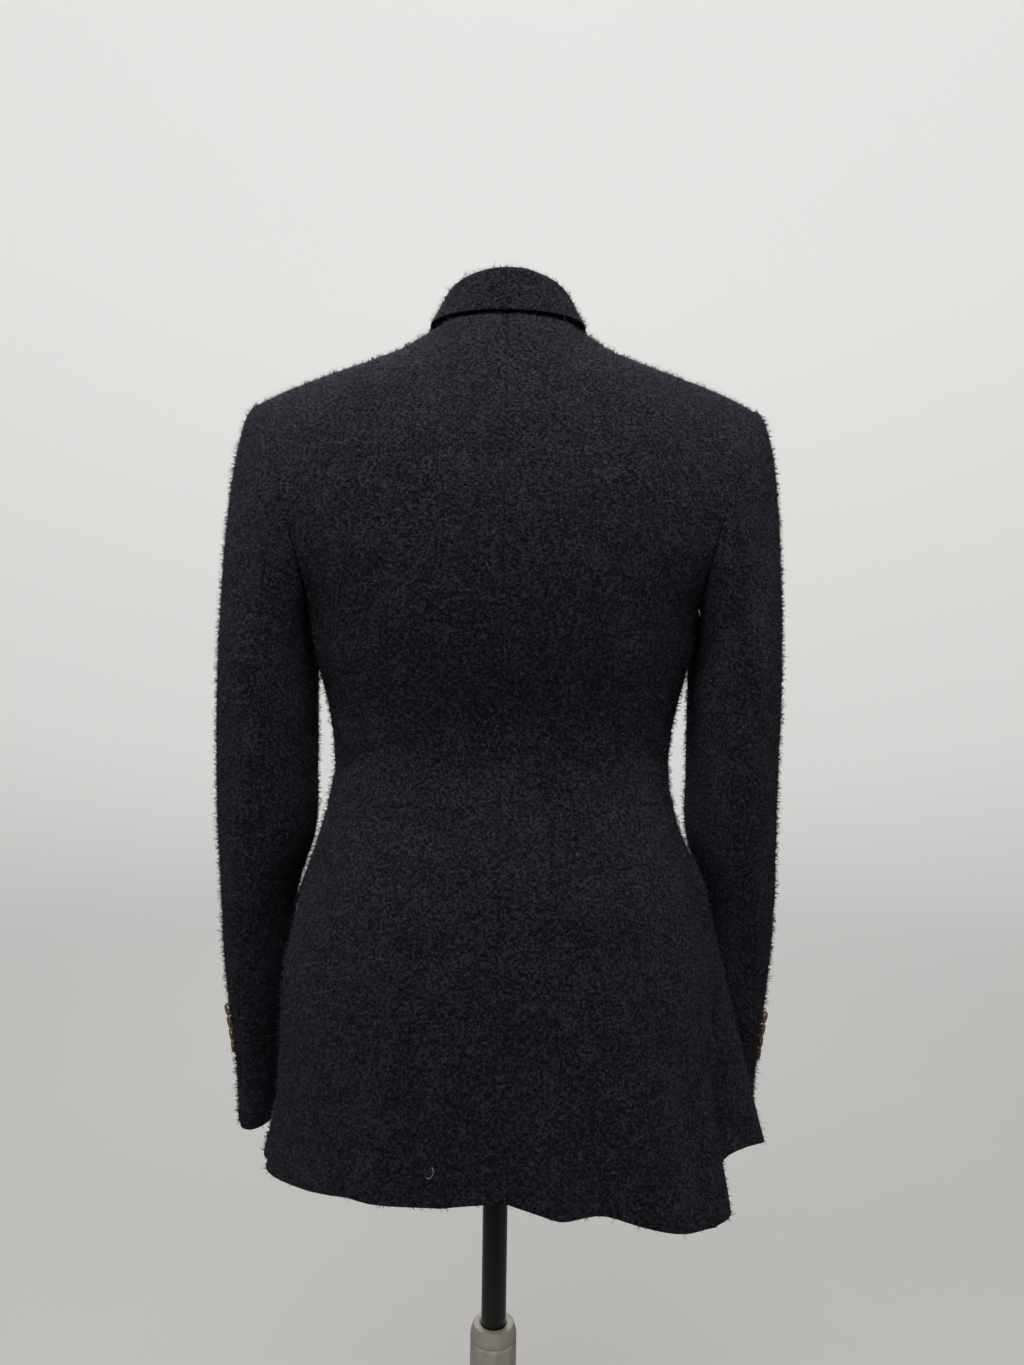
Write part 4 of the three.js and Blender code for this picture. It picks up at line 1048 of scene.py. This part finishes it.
def spin_profile(profile, steps):
    """Spins a profile of (radius, height) points in millimetres round the upright axis."""
    bm = bmesh.new()
    verts = [bm.verts.new((r * TAPE, 0, z * TAPE)) for r, z in profile]
    edges = [bm.edges.new(pair) for pair in zip(verts, verts[1:])]
    bmesh.ops.spin(bm, geom=verts + edges, axis=(0, 0, 1), cent=(0, 0, 0), dvec=(0, 0, 0),
                   angle=2 * pi, steps=steps, use_merge=True, use_duplicate=False)
    bmesh.ops.remove_doubles(bm, verts=bm.verts, dist=MERGE)
    bmesh.ops.recalc_face_normals(bm, faces=bm.faces)
    return bm


def rounded(corners, radius):
    """Cuts each inner corner of a profile into three points, so that it catches the light."""
    result = [corners[0]]
    for before, corner, after in zip(corners, corners[1:], corners[2:]):
        p, c, n = Vector(before), Vector(corner), Vector(after)
        start = c + (p - c).normalized() * radius
        end = c + (n - c).normalized() * radius
        result += [tuple(start), tuple(c * 0.34 + start * 0.33 + end * 0.33), tuple(end)]
    return result + [corners[-1]]


# %% Pole, tube, base and clamp
POLE_RADIUS, BORE_RADIUS, TUBE_RADIUS = 11, 11.6, 14
POLE_FOOT, POLE_TOP, TUBE_TOP = 300, 775, 540
BASE_RADIUS, BASE_THICKNESS = 172, 12
GRIP_FOOT, GRIP_TOP, GRIP_RADIUS, GRIP_DEPTH, CLAMP_TOP = 496, 552, 20.5, 1.9, 565
RIM_FOOT = GRIP_TOP + 0.1

pole = [(0, POLE_FOOT), (POLE_RADIUS, POLE_FOOT), (POLE_RADIUS, POLE_TOP), (0, POLE_TOP)]
tube = [(BORE_RADIUS, 100), (BORE_RADIUS, BASE_THICKNESS), (TUBE_RADIUS, BASE_THICKNESS),
        (TUBE_RADIUS, TUBE_TOP), (BORE_RADIUS, TUBE_TOP), (BORE_RADIUS, 100)]
base = [(0, 0), (BASE_RADIUS, 0), (BASE_RADIUS, BASE_THICKNESS - 2),
        (BASE_RADIUS - 3, BASE_THICKNESS), (22, BASE_THICKNESS), (0, BASE_THICKNESS)]
rim = [(BORE_RADIUS, 558), (BORE_RADIUS, RIM_FOOT), (GRIP_RADIUS, RIM_FOOT),
       (GRIP_RADIUS, GRIP_TOP + 5), (18, CLAMP_TOP), (BORE_RADIUS, CLAMP_TOP), (BORE_RADIUS, 558)]
# name, profile, radius of its edges, steps, body, slot, finish, node
TURNED = (
    ("steel_pole", pole, 0.8, 64, "form", "stand_metal", "black_lacquer", "pole"),
    ("steel_tube", tube, 0.5, 64, "stand", "stand_metal", "black_lacquer", "stand_tube"),
    ("steel_base", base, 1.2, 128, "stand", "stand_metal", "black_lacquer", "base_plate"),
    ("clamp_collar", rim, 0.7, 96, "stand", "clamp_plastic", "pale_plastic", "clamp_rim"),
)
for name, profile, radius, steps, body, slot, finish, node in TURNED:
    piece = mesh_from(spin_profile(rounded(profile, radius), steps), name)
    finish_piece(piece, body, slot, finish, node)

# %% The grip and its ribs
GRIP_BORE, GRIP_MIDDLE, GRIP_ROWS = 14.3, 520, 14
RIBS, RIB_SHARPNESS, END_PINCH = 8, 1.6, 0.6

wall = [(GRIP_RADIUS, lerp(GRIP_FOOT, GRIP_TOP, n / GRIP_ROWS)) for n in range(GRIP_ROWS + 1)]
grip = [(GRIP_BORE, GRIP_MIDDLE), (GRIP_BORE, GRIP_FOOT)] + wall
grip += [(GRIP_BORE, GRIP_TOP), (GRIP_BORE, GRIP_MIDDLE)]
bm = spin_profile(grip, 128)
for v in bm.verts:
    r = hypot(v.co.x, v.co.y)
    if r > 18 * TAPE:
        share = (v.co.z / TAPE - GRIP_FOOT) / (GRIP_TOP - GRIP_FOOT)
        rib = (0.5 - 0.5 * cos(RIBS * atan2(v.co.y, v.co.x))) ** RIB_SHARPNESS * GRIP_DEPTH
        rib *= ramp(share, 0, 0.12) * ramp(share, 1, 0.9)
        pinch = END_PINCH * (1 - ramp(share, 0, 0.04) * ramp(share, 1, 0.96))
        v.co.xy *= (r - (rib + pinch) * TAPE) / r
finish_piece(mesh_from(bm, "clamp_ribs"), "stand", "clamp_plastic", "pale_plastic", "clamp_grip")

# %% [markdown]
# ## Buttons
# Two buttons close the fronts and four small ones sit beside each cuff slit. Each is a shallow
# brass dome in a raised rim. The frame says where each one is, so its box gives the centre,
# and the cloth's own surface gives the direction that it faces.

# %% Domed brass buttons


STEP = 1e-3
FRONT_BUTTONS = (1076, 968)
CUFF_COUNT, CUFF_TOP, CUFF_PITCH = 4, 826, 15
FRONT_SIZE, CUFF_SIZE = (10, 5), (5.5, 3.6)  # radius and height of a button
BUTTON_BEFORE_SEAM, HOLE_BEFORE_SEAM = 16, 11  # degrees round the sleeve
# shares of the button's radius and height
BUTTON_PROFILE = ((0.98, 0.35), (0.95, 0.86), (0.84, 1), (0.74, 0.78), (0.4, 0.92), (0, 0.98))
BUTTON_FOOT, FOOT_SHARE = 0.15, 0.78


def surface_directions(point_at, side, a, b):
    """How a surface runs on at a point: across it and up it."""
    across = point_at(side, a + STEP, b) - point_at(side, a - STEP, b)
    up = point_at(side, a, b + STEP) - point_at(side, a, b - STEP)
    return across, up


def surface_normal(point_at, side, a, b):
    across, up = surface_directions(point_at, side, a, b)
    return (up.cross(across) * side).normalized()


def make_button(name, node, radius, height, normal):
    low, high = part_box(node)
    profile = [(0, BUTTON_FOOT), (radius * FOOT_SHARE, BUTTON_FOOT)]
    profile += [(radius * r, height * h) for r, h in BUTTON_PROFILE]
    bm = spin_profile(rounded(profile, radius * 0.05), 48)
    turn = Vector((0, 0, 1)).rotation_difference(normal).to_matrix().to_4x4()
    middle = Matrix.Translation((low + high) / 2 - normal * height * TAPE / 2)
    bmesh.ops.transform(bm, matrix=middle @ turn, verts=bm.verts)
    finish_piece(mesh_from(bm, name), "form", "button_metal", "aged_brass", node)


def front_face(z):
    """Depth of the closed fronts at the centre."""
    return -read(BODY, "front", z) - closure_out(-1, 0, z)


def cuff_patch(z, deg, reach_deg, reach_z):
    """A small patch of the sleeve round a height and an angle, as a surface of a and b."""
    def patch_point(side, a, b):
        return sleeve_ring(side, deg + reach_deg * (a - 0.5), z - reach_z * (b - 0.5))
    return patch_point


for n, z in enumerate(FRONT_BUTTONS, 1):
    normal = Vector((0, -2, front_face(z + 1) - front_face(z - 1))).normalized()
    make_button(f"brass_front_{n}", f"front_button_{n}", *FRONT_SIZE, normal)
for hand, side in HANDS.items():
    for n in range(CUFF_COUNT):
        z = CUFF_TOP - CUFF_PITCH * n
        patch = cuff_patch(z, read(SLEEVE_SEAMS, "hind", z) - BUTTON_BEFORE_SEAM, 20, 20)
        normal = surface_normal(patch, side, 0.5, 0.5)
        names = f"brass_cuff_{hand}_{n + 1}", f"cuff_button_{hand}_{n + 1}"
        make_button(*names, *CUFF_SIZE, normal)

# %% [markdown]
# ## Sewing that shows
# Three kinds of stitch show on the outside: the worked buttonholes of the front and the cuffs,
# the faint line where the hem is caught up from inside, and the tack at the top of each vent.
# A stitch is a short fat thread, sunk a little into the cloth. One stitch is made from a tiny
# cylinder with rounded ends, and copies of it are joined into one mesh per piece of sewing.

# %% One stitch, repeated along a line of points


STITCH_SIDES, STITCH_FLATNESS, STITCH_ROUNDING, SHARP_EDGE = 6, 0.8, 0.25, 70


def sew(name, places, length, width):
    """Puts a rounded stitch at each (point, direction, normal), in metres, in one mesh."""
    bm = bmesh.new()
    for point, direction, normal in places:
        made = bmesh.ops.create_cone(bm, cap_ends=True, segments=STITCH_SIDES, radius1=width / 2,
                                     radius2=width / 2, depth=length)
        for v in made["verts"]:
            v.co.x *= STITCH_FLATNESS
        across = direction.cross(normal).normalized()
        out = normal.cross(direction).normalized() * -1
        turn = Matrix((across, out, direction)).transposed().to_4x4()
        bmesh.ops.transform(bm, matrix=Matrix.Translation(point) @ turn, verts=made["verts"])
    sharp = radians(SHARP_EDGE)
    rims = [e for e in bm.edges if len(e.link_faces) == 2 and e.calc_face_angle() > sharp]
    bmesh.ops.bevel(bm, geom=rims, offset=width * STITCH_ROUNDING, segments=1, affect="EDGES",
                    profile=0.5, material=-1)
    bmesh.ops.recalc_face_normals(bm, faces=bm.faces)
    finish_piece(mesh_from(bm, name), "form", "boucle_cloth", "waxed_thread")


def on_cloth(point_at, side, a, b, out):
    """A point just off a piece of cloth, in metres, with its two directions and its normal."""
    across, up = surface_directions(point_at, side, a, b)
    normal = surface_normal(point_at, side, a, b)
    point = (point_at(side, a, b) + normal * out) * TAPE
    return point, across.normalized(), up.normalized(), normal


# %% Buttonholes, worked in two rows of stitches
HOLE_LENGTH, HOLE_STITCHES, HOLE_END, HOLE_HALF = 19, 22, 4, 1.1
HOLE_SUNK, HOLE_LEAN = 0.3, 0.12
places = []
for z in FRONT_BUTTONS:
    for n in range(HOLE_STITCHES):
        for row in (-1, 1):
            x = HOLE_END - HOLE_LENGTH * n / (HOLE_STITCHES - 1)
            point = Vector((x, front_face(z) - HOLE_SUNK, z + row * HOLE_HALF)) * TAPE
            places.append((point, Vector((HOLE_LEAN, 0, 1)).normalized(), Vector((0, -1, 0))))
sew("buttonholes_front", places, 0.0022, 0.0008)

places = []
for side in HANDS.values():
    for n in range(CUFF_COUNT):
        z = CUFF_TOP - CUFF_PITCH * n
        deg = read(SLEEVE_SEAMS, "hind", z) - HOLE_BEFORE_SEAM
        for stitch in range(9):
            for row in (-1, 1):
                patch = cuff_patch(z + row * 0.8, deg, 10, 10)
                point, _, up, normal = on_cloth(patch, side, 0.5 - 0.09 * stitch, 0.5, 0.1)
                places.append((point, up, normal))
sew("buttonholes_cuff", places, 0.0017, 0.0007)

# %% Hem stitches at the right of the back, and vent tacks
places = []
for n in range(16):
    b = (0.66 + 0.02 * sin(n * 2.3)) / PANEL_ROWS
    point, across, _, normal = on_cloth(back_point, -1, 0.3 + 0.017 * n, b, 0.05)
    places.append((point, across, normal))
sew("hem_stitches", places, 0.0016, 0.0005)

TACK_ABOVE, TACK_PITCH = 4, 1.2
places = []
for side in HANDS.values():
    for n in range(7):
        z = VENT_TOP + TACK_ABOVE + n * TACK_PITCH
        b = (1 + (z - HEM_ROW_Z) * TRUNK_ROWS / (YOKE_Z - HEM_ROW_Z)) / PANEL_ROWS
        point, across, _, normal = on_cloth(back_point, side, 0.985, b, 0.2)
        places.append((point, across, normal))
sew("vent_tacks", places, 0.0044, 0.0008)

# %% A curl of lint
LINT_X, LINT_Z, LINT_OFF = 50, 760, 2.6
LINT_RADIUS, LINT_KNOTS = 0.00019, 9
lint_curve = bpy.data.curves.new("lint", "CURVE")
lint_curve.dimensions = "3D"
lint_curve.bevel_depth = LINT_RADIUS
lint_curve.bevel_resolution = 1
lint_curve.resolution_u = 5
strand_points = []
for n in range(LINT_KNOTS):
    turn = 2.2 + n * 0.42
    x = LINT_X + 3.4 * cos(turn) * (1 - n * 0.03)
    z = LINT_Z + 4.2 * sin(turn) - n * 0.2
    y = body_point(1, "back", atan2(x, read(BODY, "back", z)), z).y + LINT_OFF + 0.7 * sin(n)
    strand_points.append((x * TAPE, y * TAPE, z * TAPE))
spline = lint_curve.splines.new("BEZIER")
spline.bezier_points.add(len(strand_points) - 1)
for knot, co in zip(spline.bezier_points, strand_points):
    knot.co = co
    knot.handle_left_type = knot.handle_right_type = "AUTO"
lint_piece = new_object("lint_thread_source", lint_curve)
graph = bpy.context.evaluated_depsgraph_get()
lint_mesh = bpy.data.meshes.new_from_object(lint_piece.evaluated_get(graph))
bpy.data.objects.remove(lint_piece)
finish_piece(new_object("lint_thread", lint_mesh), "form", "boucle_cloth", "pale_lint")

# %% [markdown]
# ## The hair of the boucle
# The hair makes this cloth what it is: the outline is never sharp, and close up the surface is
# all small curls. A bump can't change an outline, so the hairs are real. A few kinds of hair
# are modelled once, each a thin three-sided tube that narrows to a point: straight, hooked,
# and curled back into a loop. A ring of edges is extruded from point to point of its path, as
# a wire is drawn. Geometry Nodes scatters them over a copy of each piece's outer
# face, turns and sizes each one by seeded chance, and makes one mesh of them.

# %% Kinds of hair


HAIR_SIDES, HAIR_TAPER = 3, 0.6


def make_hair(name, thickness, path):
    """A three-sided tapering tube along a few points, in millimetres."""
    bm = bmesh.new()
    last = len(path) - 1
    for n, point in enumerate(path):
        ahead = Vector(path[min(n + 1, last)]) - Vector(path[max(n - 1, 0)])
        turn = Vector((0, 0, 1)).rotation_difference(ahead.normalized()).to_matrix().to_4x4()
        place = Matrix.Translation(Vector(point) * TAPE) @ turn
        r = thickness * TAPE * (1 - HAIR_TAPER * n / last)
        if n == 0:
            start = place @ Matrix.Rotation(-pi / 2, 4, "Z")
            bmesh.ops.create_circle(bm, segments=HAIR_SIDES, radius=r, matrix=start)
            ring = bm.edges[:]
        else:
            made = bmesh.ops.extrude_edge_only(bm, edges=ring)["geom"]
            verts = [part for part in made if isinstance(part, bmesh.types.BMVert)]
            move = place @ Matrix.Scale(r / before_r, 4) @ before_place.inverted()
            bmesh.ops.transform(bm, matrix=move, verts=verts)
            ring = [part for part in made if isinstance(part, bmesh.types.BMEdge)
                    and all(v in verts for v in part.verts)]
        before_place, before_r = place, r
    bmesh.ops.pointmerge(bm, verts=verts, merge_co=Vector(path[last]) * TAPE)
    bmesh.ops.recalc_face_normals(bm, faces=bm.faces)
    piece = mesh_from(bm, name)
    piece.data.materials.append(hair_finish)
    return piece


# name, thickness, path
HAIRS = (
    ("tuft", 0.42, [(0, 0, -0.4), (0.5, 0, 2.9)]),
    ("tuft_lean", 0.38, [(0, 0, -0.4), (1.8, 0, 2.6)]),
    ("tuft_low", 0.36, [(0, 0, -0.3), (3.0, 0.4, 1.3)]),
    ("tuft_short", 0.46, [(0, 0, -0.4), (-0.6, 0.7, 2.1)]),
    ("tuft_long", 0.3, [(0, 0, -0.4), (0.9, -0.5, 4.4)]),
    ("tuft_flat", 0.4, [(0, 0, -0.2), (-2.6, -1.0, 1.0)]),
    ("tuft_side", 0.36, [(0, 0, -0.3), (-0.9, -2.2, 2.2)]),
    ("tuft_thick", 0.5, [(0, 0, -0.4), (0.3, 0.9, 2.4)]),
    ("hooked", 0.26, [(0, 0, -0.4), (0.6, 0, 2.6), (2.3, 0.5, 3.6)]),
    ("bent", 0.22, [(0, 0, -0.4), (-0.4, 0.3, 3.0), (1.1, 1.7, 5.4)]),
    ("curl", 0.28, [(0, 0, -0.3), (1.6, 0.1, 1.7), (2.8, 1.4, 0.8)]),
    ("loop", 0.24, [(0, 0, -0.3), (0.5, 0, 2.3), (2.1, 0.5, 2.8), (2.6, 1.5, 0.8)]),
)
kinds = bpy.data.collections.new("hair_kinds")
bpy.context.scene.collection.children.link(kinds)
for n, (name, thickness, path) in enumerate(HAIRS):
    piece = make_hair(f"{n}_{name}", thickness, path)
    bpy.context.scene.collection.objects.unlink(piece)
    kinds.objects.link(piece)

# %% Scatter them with Geometry Nodes


HAIR_LEAN, HAIR_SMALL, HAIR_LARGE = 0.85, 0.55, 1.35


def scatter_tree():
    """Nodes that set seeded kinds of hair on a mesh, by a density and a seed."""
    tree = bpy.data.node_groups.new("scatter_hair", "GeometryNodeTree")
    tree.interface.new_socket("Geometry", in_out="INPUT", socket_type="NodeSocketGeometry")
    for label, kind in (("Density", "NodeSocketFloat"), ("Seed", "NodeSocketInt")):
        tree.interface.new_socket(label, in_out="INPUT", socket_type=kind)
    tree.interface.new_socket("Geometry", in_out="OUTPUT", socket_type="NodeSocketGeometry")
    given = tree.nodes.new("NodeGroupInput").outputs
    points = add_node(tree, "GeometryNodeDistributePointsOnFaces", {"distribute_method": "RANDOM"},
                      Mesh=given["Geometry"], Density=given["Density"], Seed=given["Seed"])
    spin = add_node(tree, "FunctionNodeRandomValue", {"data_type": "FLOAT_VECTOR"},
                    _0=(-HAIR_LEAN, -HAIR_LEAN, 0.0), _1=(HAIR_LEAN, HAIR_LEAN, 2 * pi),
                    _8=given["Seed"])
    turned = add_node(tree, "FunctionNodeRotateRotation", {"rotation_space": "LOCAL"},
                      _0=points.outputs["Rotation"], _1=spin.outputs[0])
    size = add_node(tree, "FunctionNodeRandomValue", {"data_type": "FLOAT"},
                    _2=HAIR_SMALL, _3=HAIR_LARGE, _8=given["Seed"])
    source = add_node(tree, "GeometryNodeCollectionInfo", None, Collection=kinds)
    source.inputs["Separate Children"].default_value = True
    source.inputs["Reset Children"].default_value = True
    pick = add_node(tree, "FunctionNodeRandomValue", {"data_type": "INT"},
                    _4=0, _5=len(HAIRS) - 1, _8=given["Seed"])
    put = add_node(tree, "GeometryNodeInstanceOnPoints", None, Points=points.outputs["Points"],
                   Instance=source.outputs[0], Rotation=turned.outputs[0], Scale=size.outputs[1])
    put.inputs["Pick Instance"].default_value = True
    tree.links.new(pick.outputs[2], put.inputs["Instance Index"])
    real = add_node(tree, "GeometryNodeRealizeInstances", None, Geometry=put.outputs["Instances"])
    tree.links.new(real.outputs["Geometry"], tree.nodes.new("NodeGroupOutput").inputs[0])
    return tree


HAIR_TREE = scatter_tree()
print("hair nodes:", len(HAIR_TREE.nodes))

# %% Grow it on every sheet
# hairs on a square metre
HAIR_DENSITY = {
    "back": 150_000, "side": 115_000, "front": 90_000, "upper_sleeve": 120_000,
    "under_sleeve": 95_000, "lapel": 110_000, "flap": 125_000, "collar": 150_000,
}


def other_side(mesh):
    """Moves a sheet to its other face, for a strip that shows its inside where it folds over."""
    bm = bmesh.new()
    bm.from_mesh(mesh)
    bm.normal_update()
    for v in bm.verts:
        v.co -= v.normal * CLOTH * TAPE
    bmesh.ops.reverse_faces(bm, faces=bm.faces[:])
    bm.to_mesh(mesh)
    bm.free()


def grow_hair(sheet, name, per_square_metre, seed):
    """Hairs on one sheet, made into a mesh of their own that rides with the cloth."""
    source = new_object(f"source_{name}", sheet.data.copy())
    if name == "hair_collar":
        other_side(source.data)
    grow = source.modifiers.new("hair", "NODES")
    grow.node_group = HAIR_TREE
    sockets = HAIR_TREE.interface.items_tree
    names = {socket.name: socket.identifier for socket in sockets if socket.in_out == "INPUT"}
    grow[names["Density"]] = float(per_square_metre)
    grow[names["Seed"]] = seed
    graph = bpy.context.evaluated_depsgraph_get()
    mesh = bpy.data.meshes.new_from_object(source.evaluated_get(graph))
    bpy.data.objects.remove(source)
    piece = new_object(name, mesh)
    piece.data.materials.clear()
    piece.data.materials.append(hair_finish)
    triangles = sum(len(face.vertices) - 2 for face in mesh.polygons)
    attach(piece, "form")
    print(f"{name}: {triangles} triangles")
    return triangles


total = 0
for seed, (name, sheet) in enumerate(sheets.items(), 1):
    key = name.removeprefix("cloth_")
    kind = key.removesuffix("_left").removesuffix("_right")
    total += grow_hair(sheet[0], f"hair_{key}", HAIR_DENSITY[kind], seed)
for piece in list(kinds.objects):
    bpy.data.objects.remove(piece)
bpy.data.collections.remove(kinds)
print("hair in all:", total, "triangles")

# %% [markdown]
# ## Floor, light and finish
# A round pale cove stands all round the stand: a floor that rises into a wall in one curve, so
# that no corner shows. Its floor is coloured much darker than its wall: painted shade, darker low
# down where less light falls. It glows a little where only the camera sees it, so that it stays
# pale without throwing light on the cloth. Big soft lamps light the blazer as a studio would: one
# above the camera, one on each side, and one high up in front of the blazer.

# %% Pale cove
COVE_FLAT, COVE_BEND, COVE_SHOULDER, COVE_TOP = 4200, 1400, 3200, 7000
FLOOR_DROP = 0.0005
cove = [(0, 0), (COVE_FLAT, 0)]
for deg in range(10, 91, 10):
    turn = radians(deg)
    cove.append((COVE_FLAT + COVE_BEND * sin(turn), COVE_BEND * (1 - cos(turn))))
cove += [(COVE_FLAT + COVE_BEND, COVE_SHOULDER), (COVE_FLAT + COVE_BEND, COVE_TOP)]
bm = spin_profile(cove, 96)
bmesh.ops.reverse_faces(bm, faces=bm.faces[:])
bmesh.ops.translate(bm, verts=bm.verts, vec=(0, 0, -FLOOR_DROP))
floor = mesh_from(bm, "pale_cove")
print("cove of", len(floor.data.polygons), "faces")

# %% The cove's colour: a darker floor as painted shade, and a glow
# The floor's tones are far darker than the wall's: painted shade, darker low down where less light
# falls.
SHADED_FLOOR_TONES = (0.235, 0.228, 0.216, 1), (0.255, 0.248, 0.236, 1)
WALL_TONES = (0.70, 0.68, 0.66, 1), (0.74, 0.72, 0.70, 1)
WALL_HEIGHT = 3.4
GLOW_NEAR, GLOW_FAR, GLOW_TOP = 0.31, 0.6, 0.12
cove_paper_and_shade, tree, shader, place = new_material("pale_paper")
fibre = noise_node(tree, place, 2.2, 4.0)["Fac"]
where = add_node(tree, "ShaderNodeSeparateXYZ", None, Vector=place).outputs
# With height the colour goes from the darker floor to the pale wall: a painted shade gradient.
rising = spread(tree, where["Z"], 0.0, WALL_HEIGHT)
shaded_floor_tone = mix_colour(tree, fibre, *SHADED_FLOOR_TONES)
wall_tone = mix_colour(tree, fibre, *WALL_TONES)
paper_and_shade = mix_colour(tree, rising, shaded_floor_tone, wall_tone)
tree.links.new(paper_and_shade, shader.inputs["Base Color"])
seen = tree.nodes.new("ShaderNodeLightPath").outputs["Is Camera Ray"]
along = math_node(tree, "SUBTRACT", where["Z"], where["Y"])
rise = math_node(tree, "ADD", spread(tree, along, 1.2, 5.5, GLOW_NEAR, GLOW_FAR),
                 spread(tree, along, 5.5, 12.0, 0, GLOW_TOP))
glow = math_node(tree, "MULTIPLY", seen, rise)
tree.links.new(glow, shader.inputs["Emission Strength"])
set_shader(shader, Emission_Color=(1.0, 0.985, 0.965, 1), Roughness=0.85, Specular_IOR_Level=0.2)
floor.data.materials.append(cove_paper_and_shade)

# %% Soft lamps
# name, place, the height that it points at on the axis, its size and its power
LAMPS = (
    ("key", (0.15, 1.05, 2.6), 1.28, 1.2, 37),
    ("left_side", (2.2, 0.2, 2.9), 1.2, 1.6, 12),
    ("right_side", (-2.2, 0.2, 2.9), 1.2, 1.6, 12),
    ("front", (0.4, -2.2, 2.9), 1.2, 1.8, 50),
)
SKY_COLOUR, SKY_STRENGTH = (0.94, 0.95, 1.0, 1), 0.17

for name, place, aim_z, size, power in LAMPS:
    data = bpy.data.lights.new(name, "AREA")
    data.shape = "DISK"
    data.size = size
    data.energy = power
    light = bpy.data.objects.new(name, data)
    bpy.context.scene.collection.objects.link(light)
    light.location = place
    aim = Vector((0, 0, aim_z)) - Vector(place)
    light.rotation_euler = aim.to_track_quat("-Z", "Y").to_euler()
world = bpy.data.worlds.new("studio")
world.use_nodes = True
background = world.node_tree.nodes["Background"]
background.inputs["Color"].default_value = SKY_COLOUR
background.inputs["Strength"].default_value = SKY_STRENGTH
bpy.context.scene.world = world
bpy.context.scene.view_settings.view_transform = "Standard"
print(len(LAMPS), "lamps")
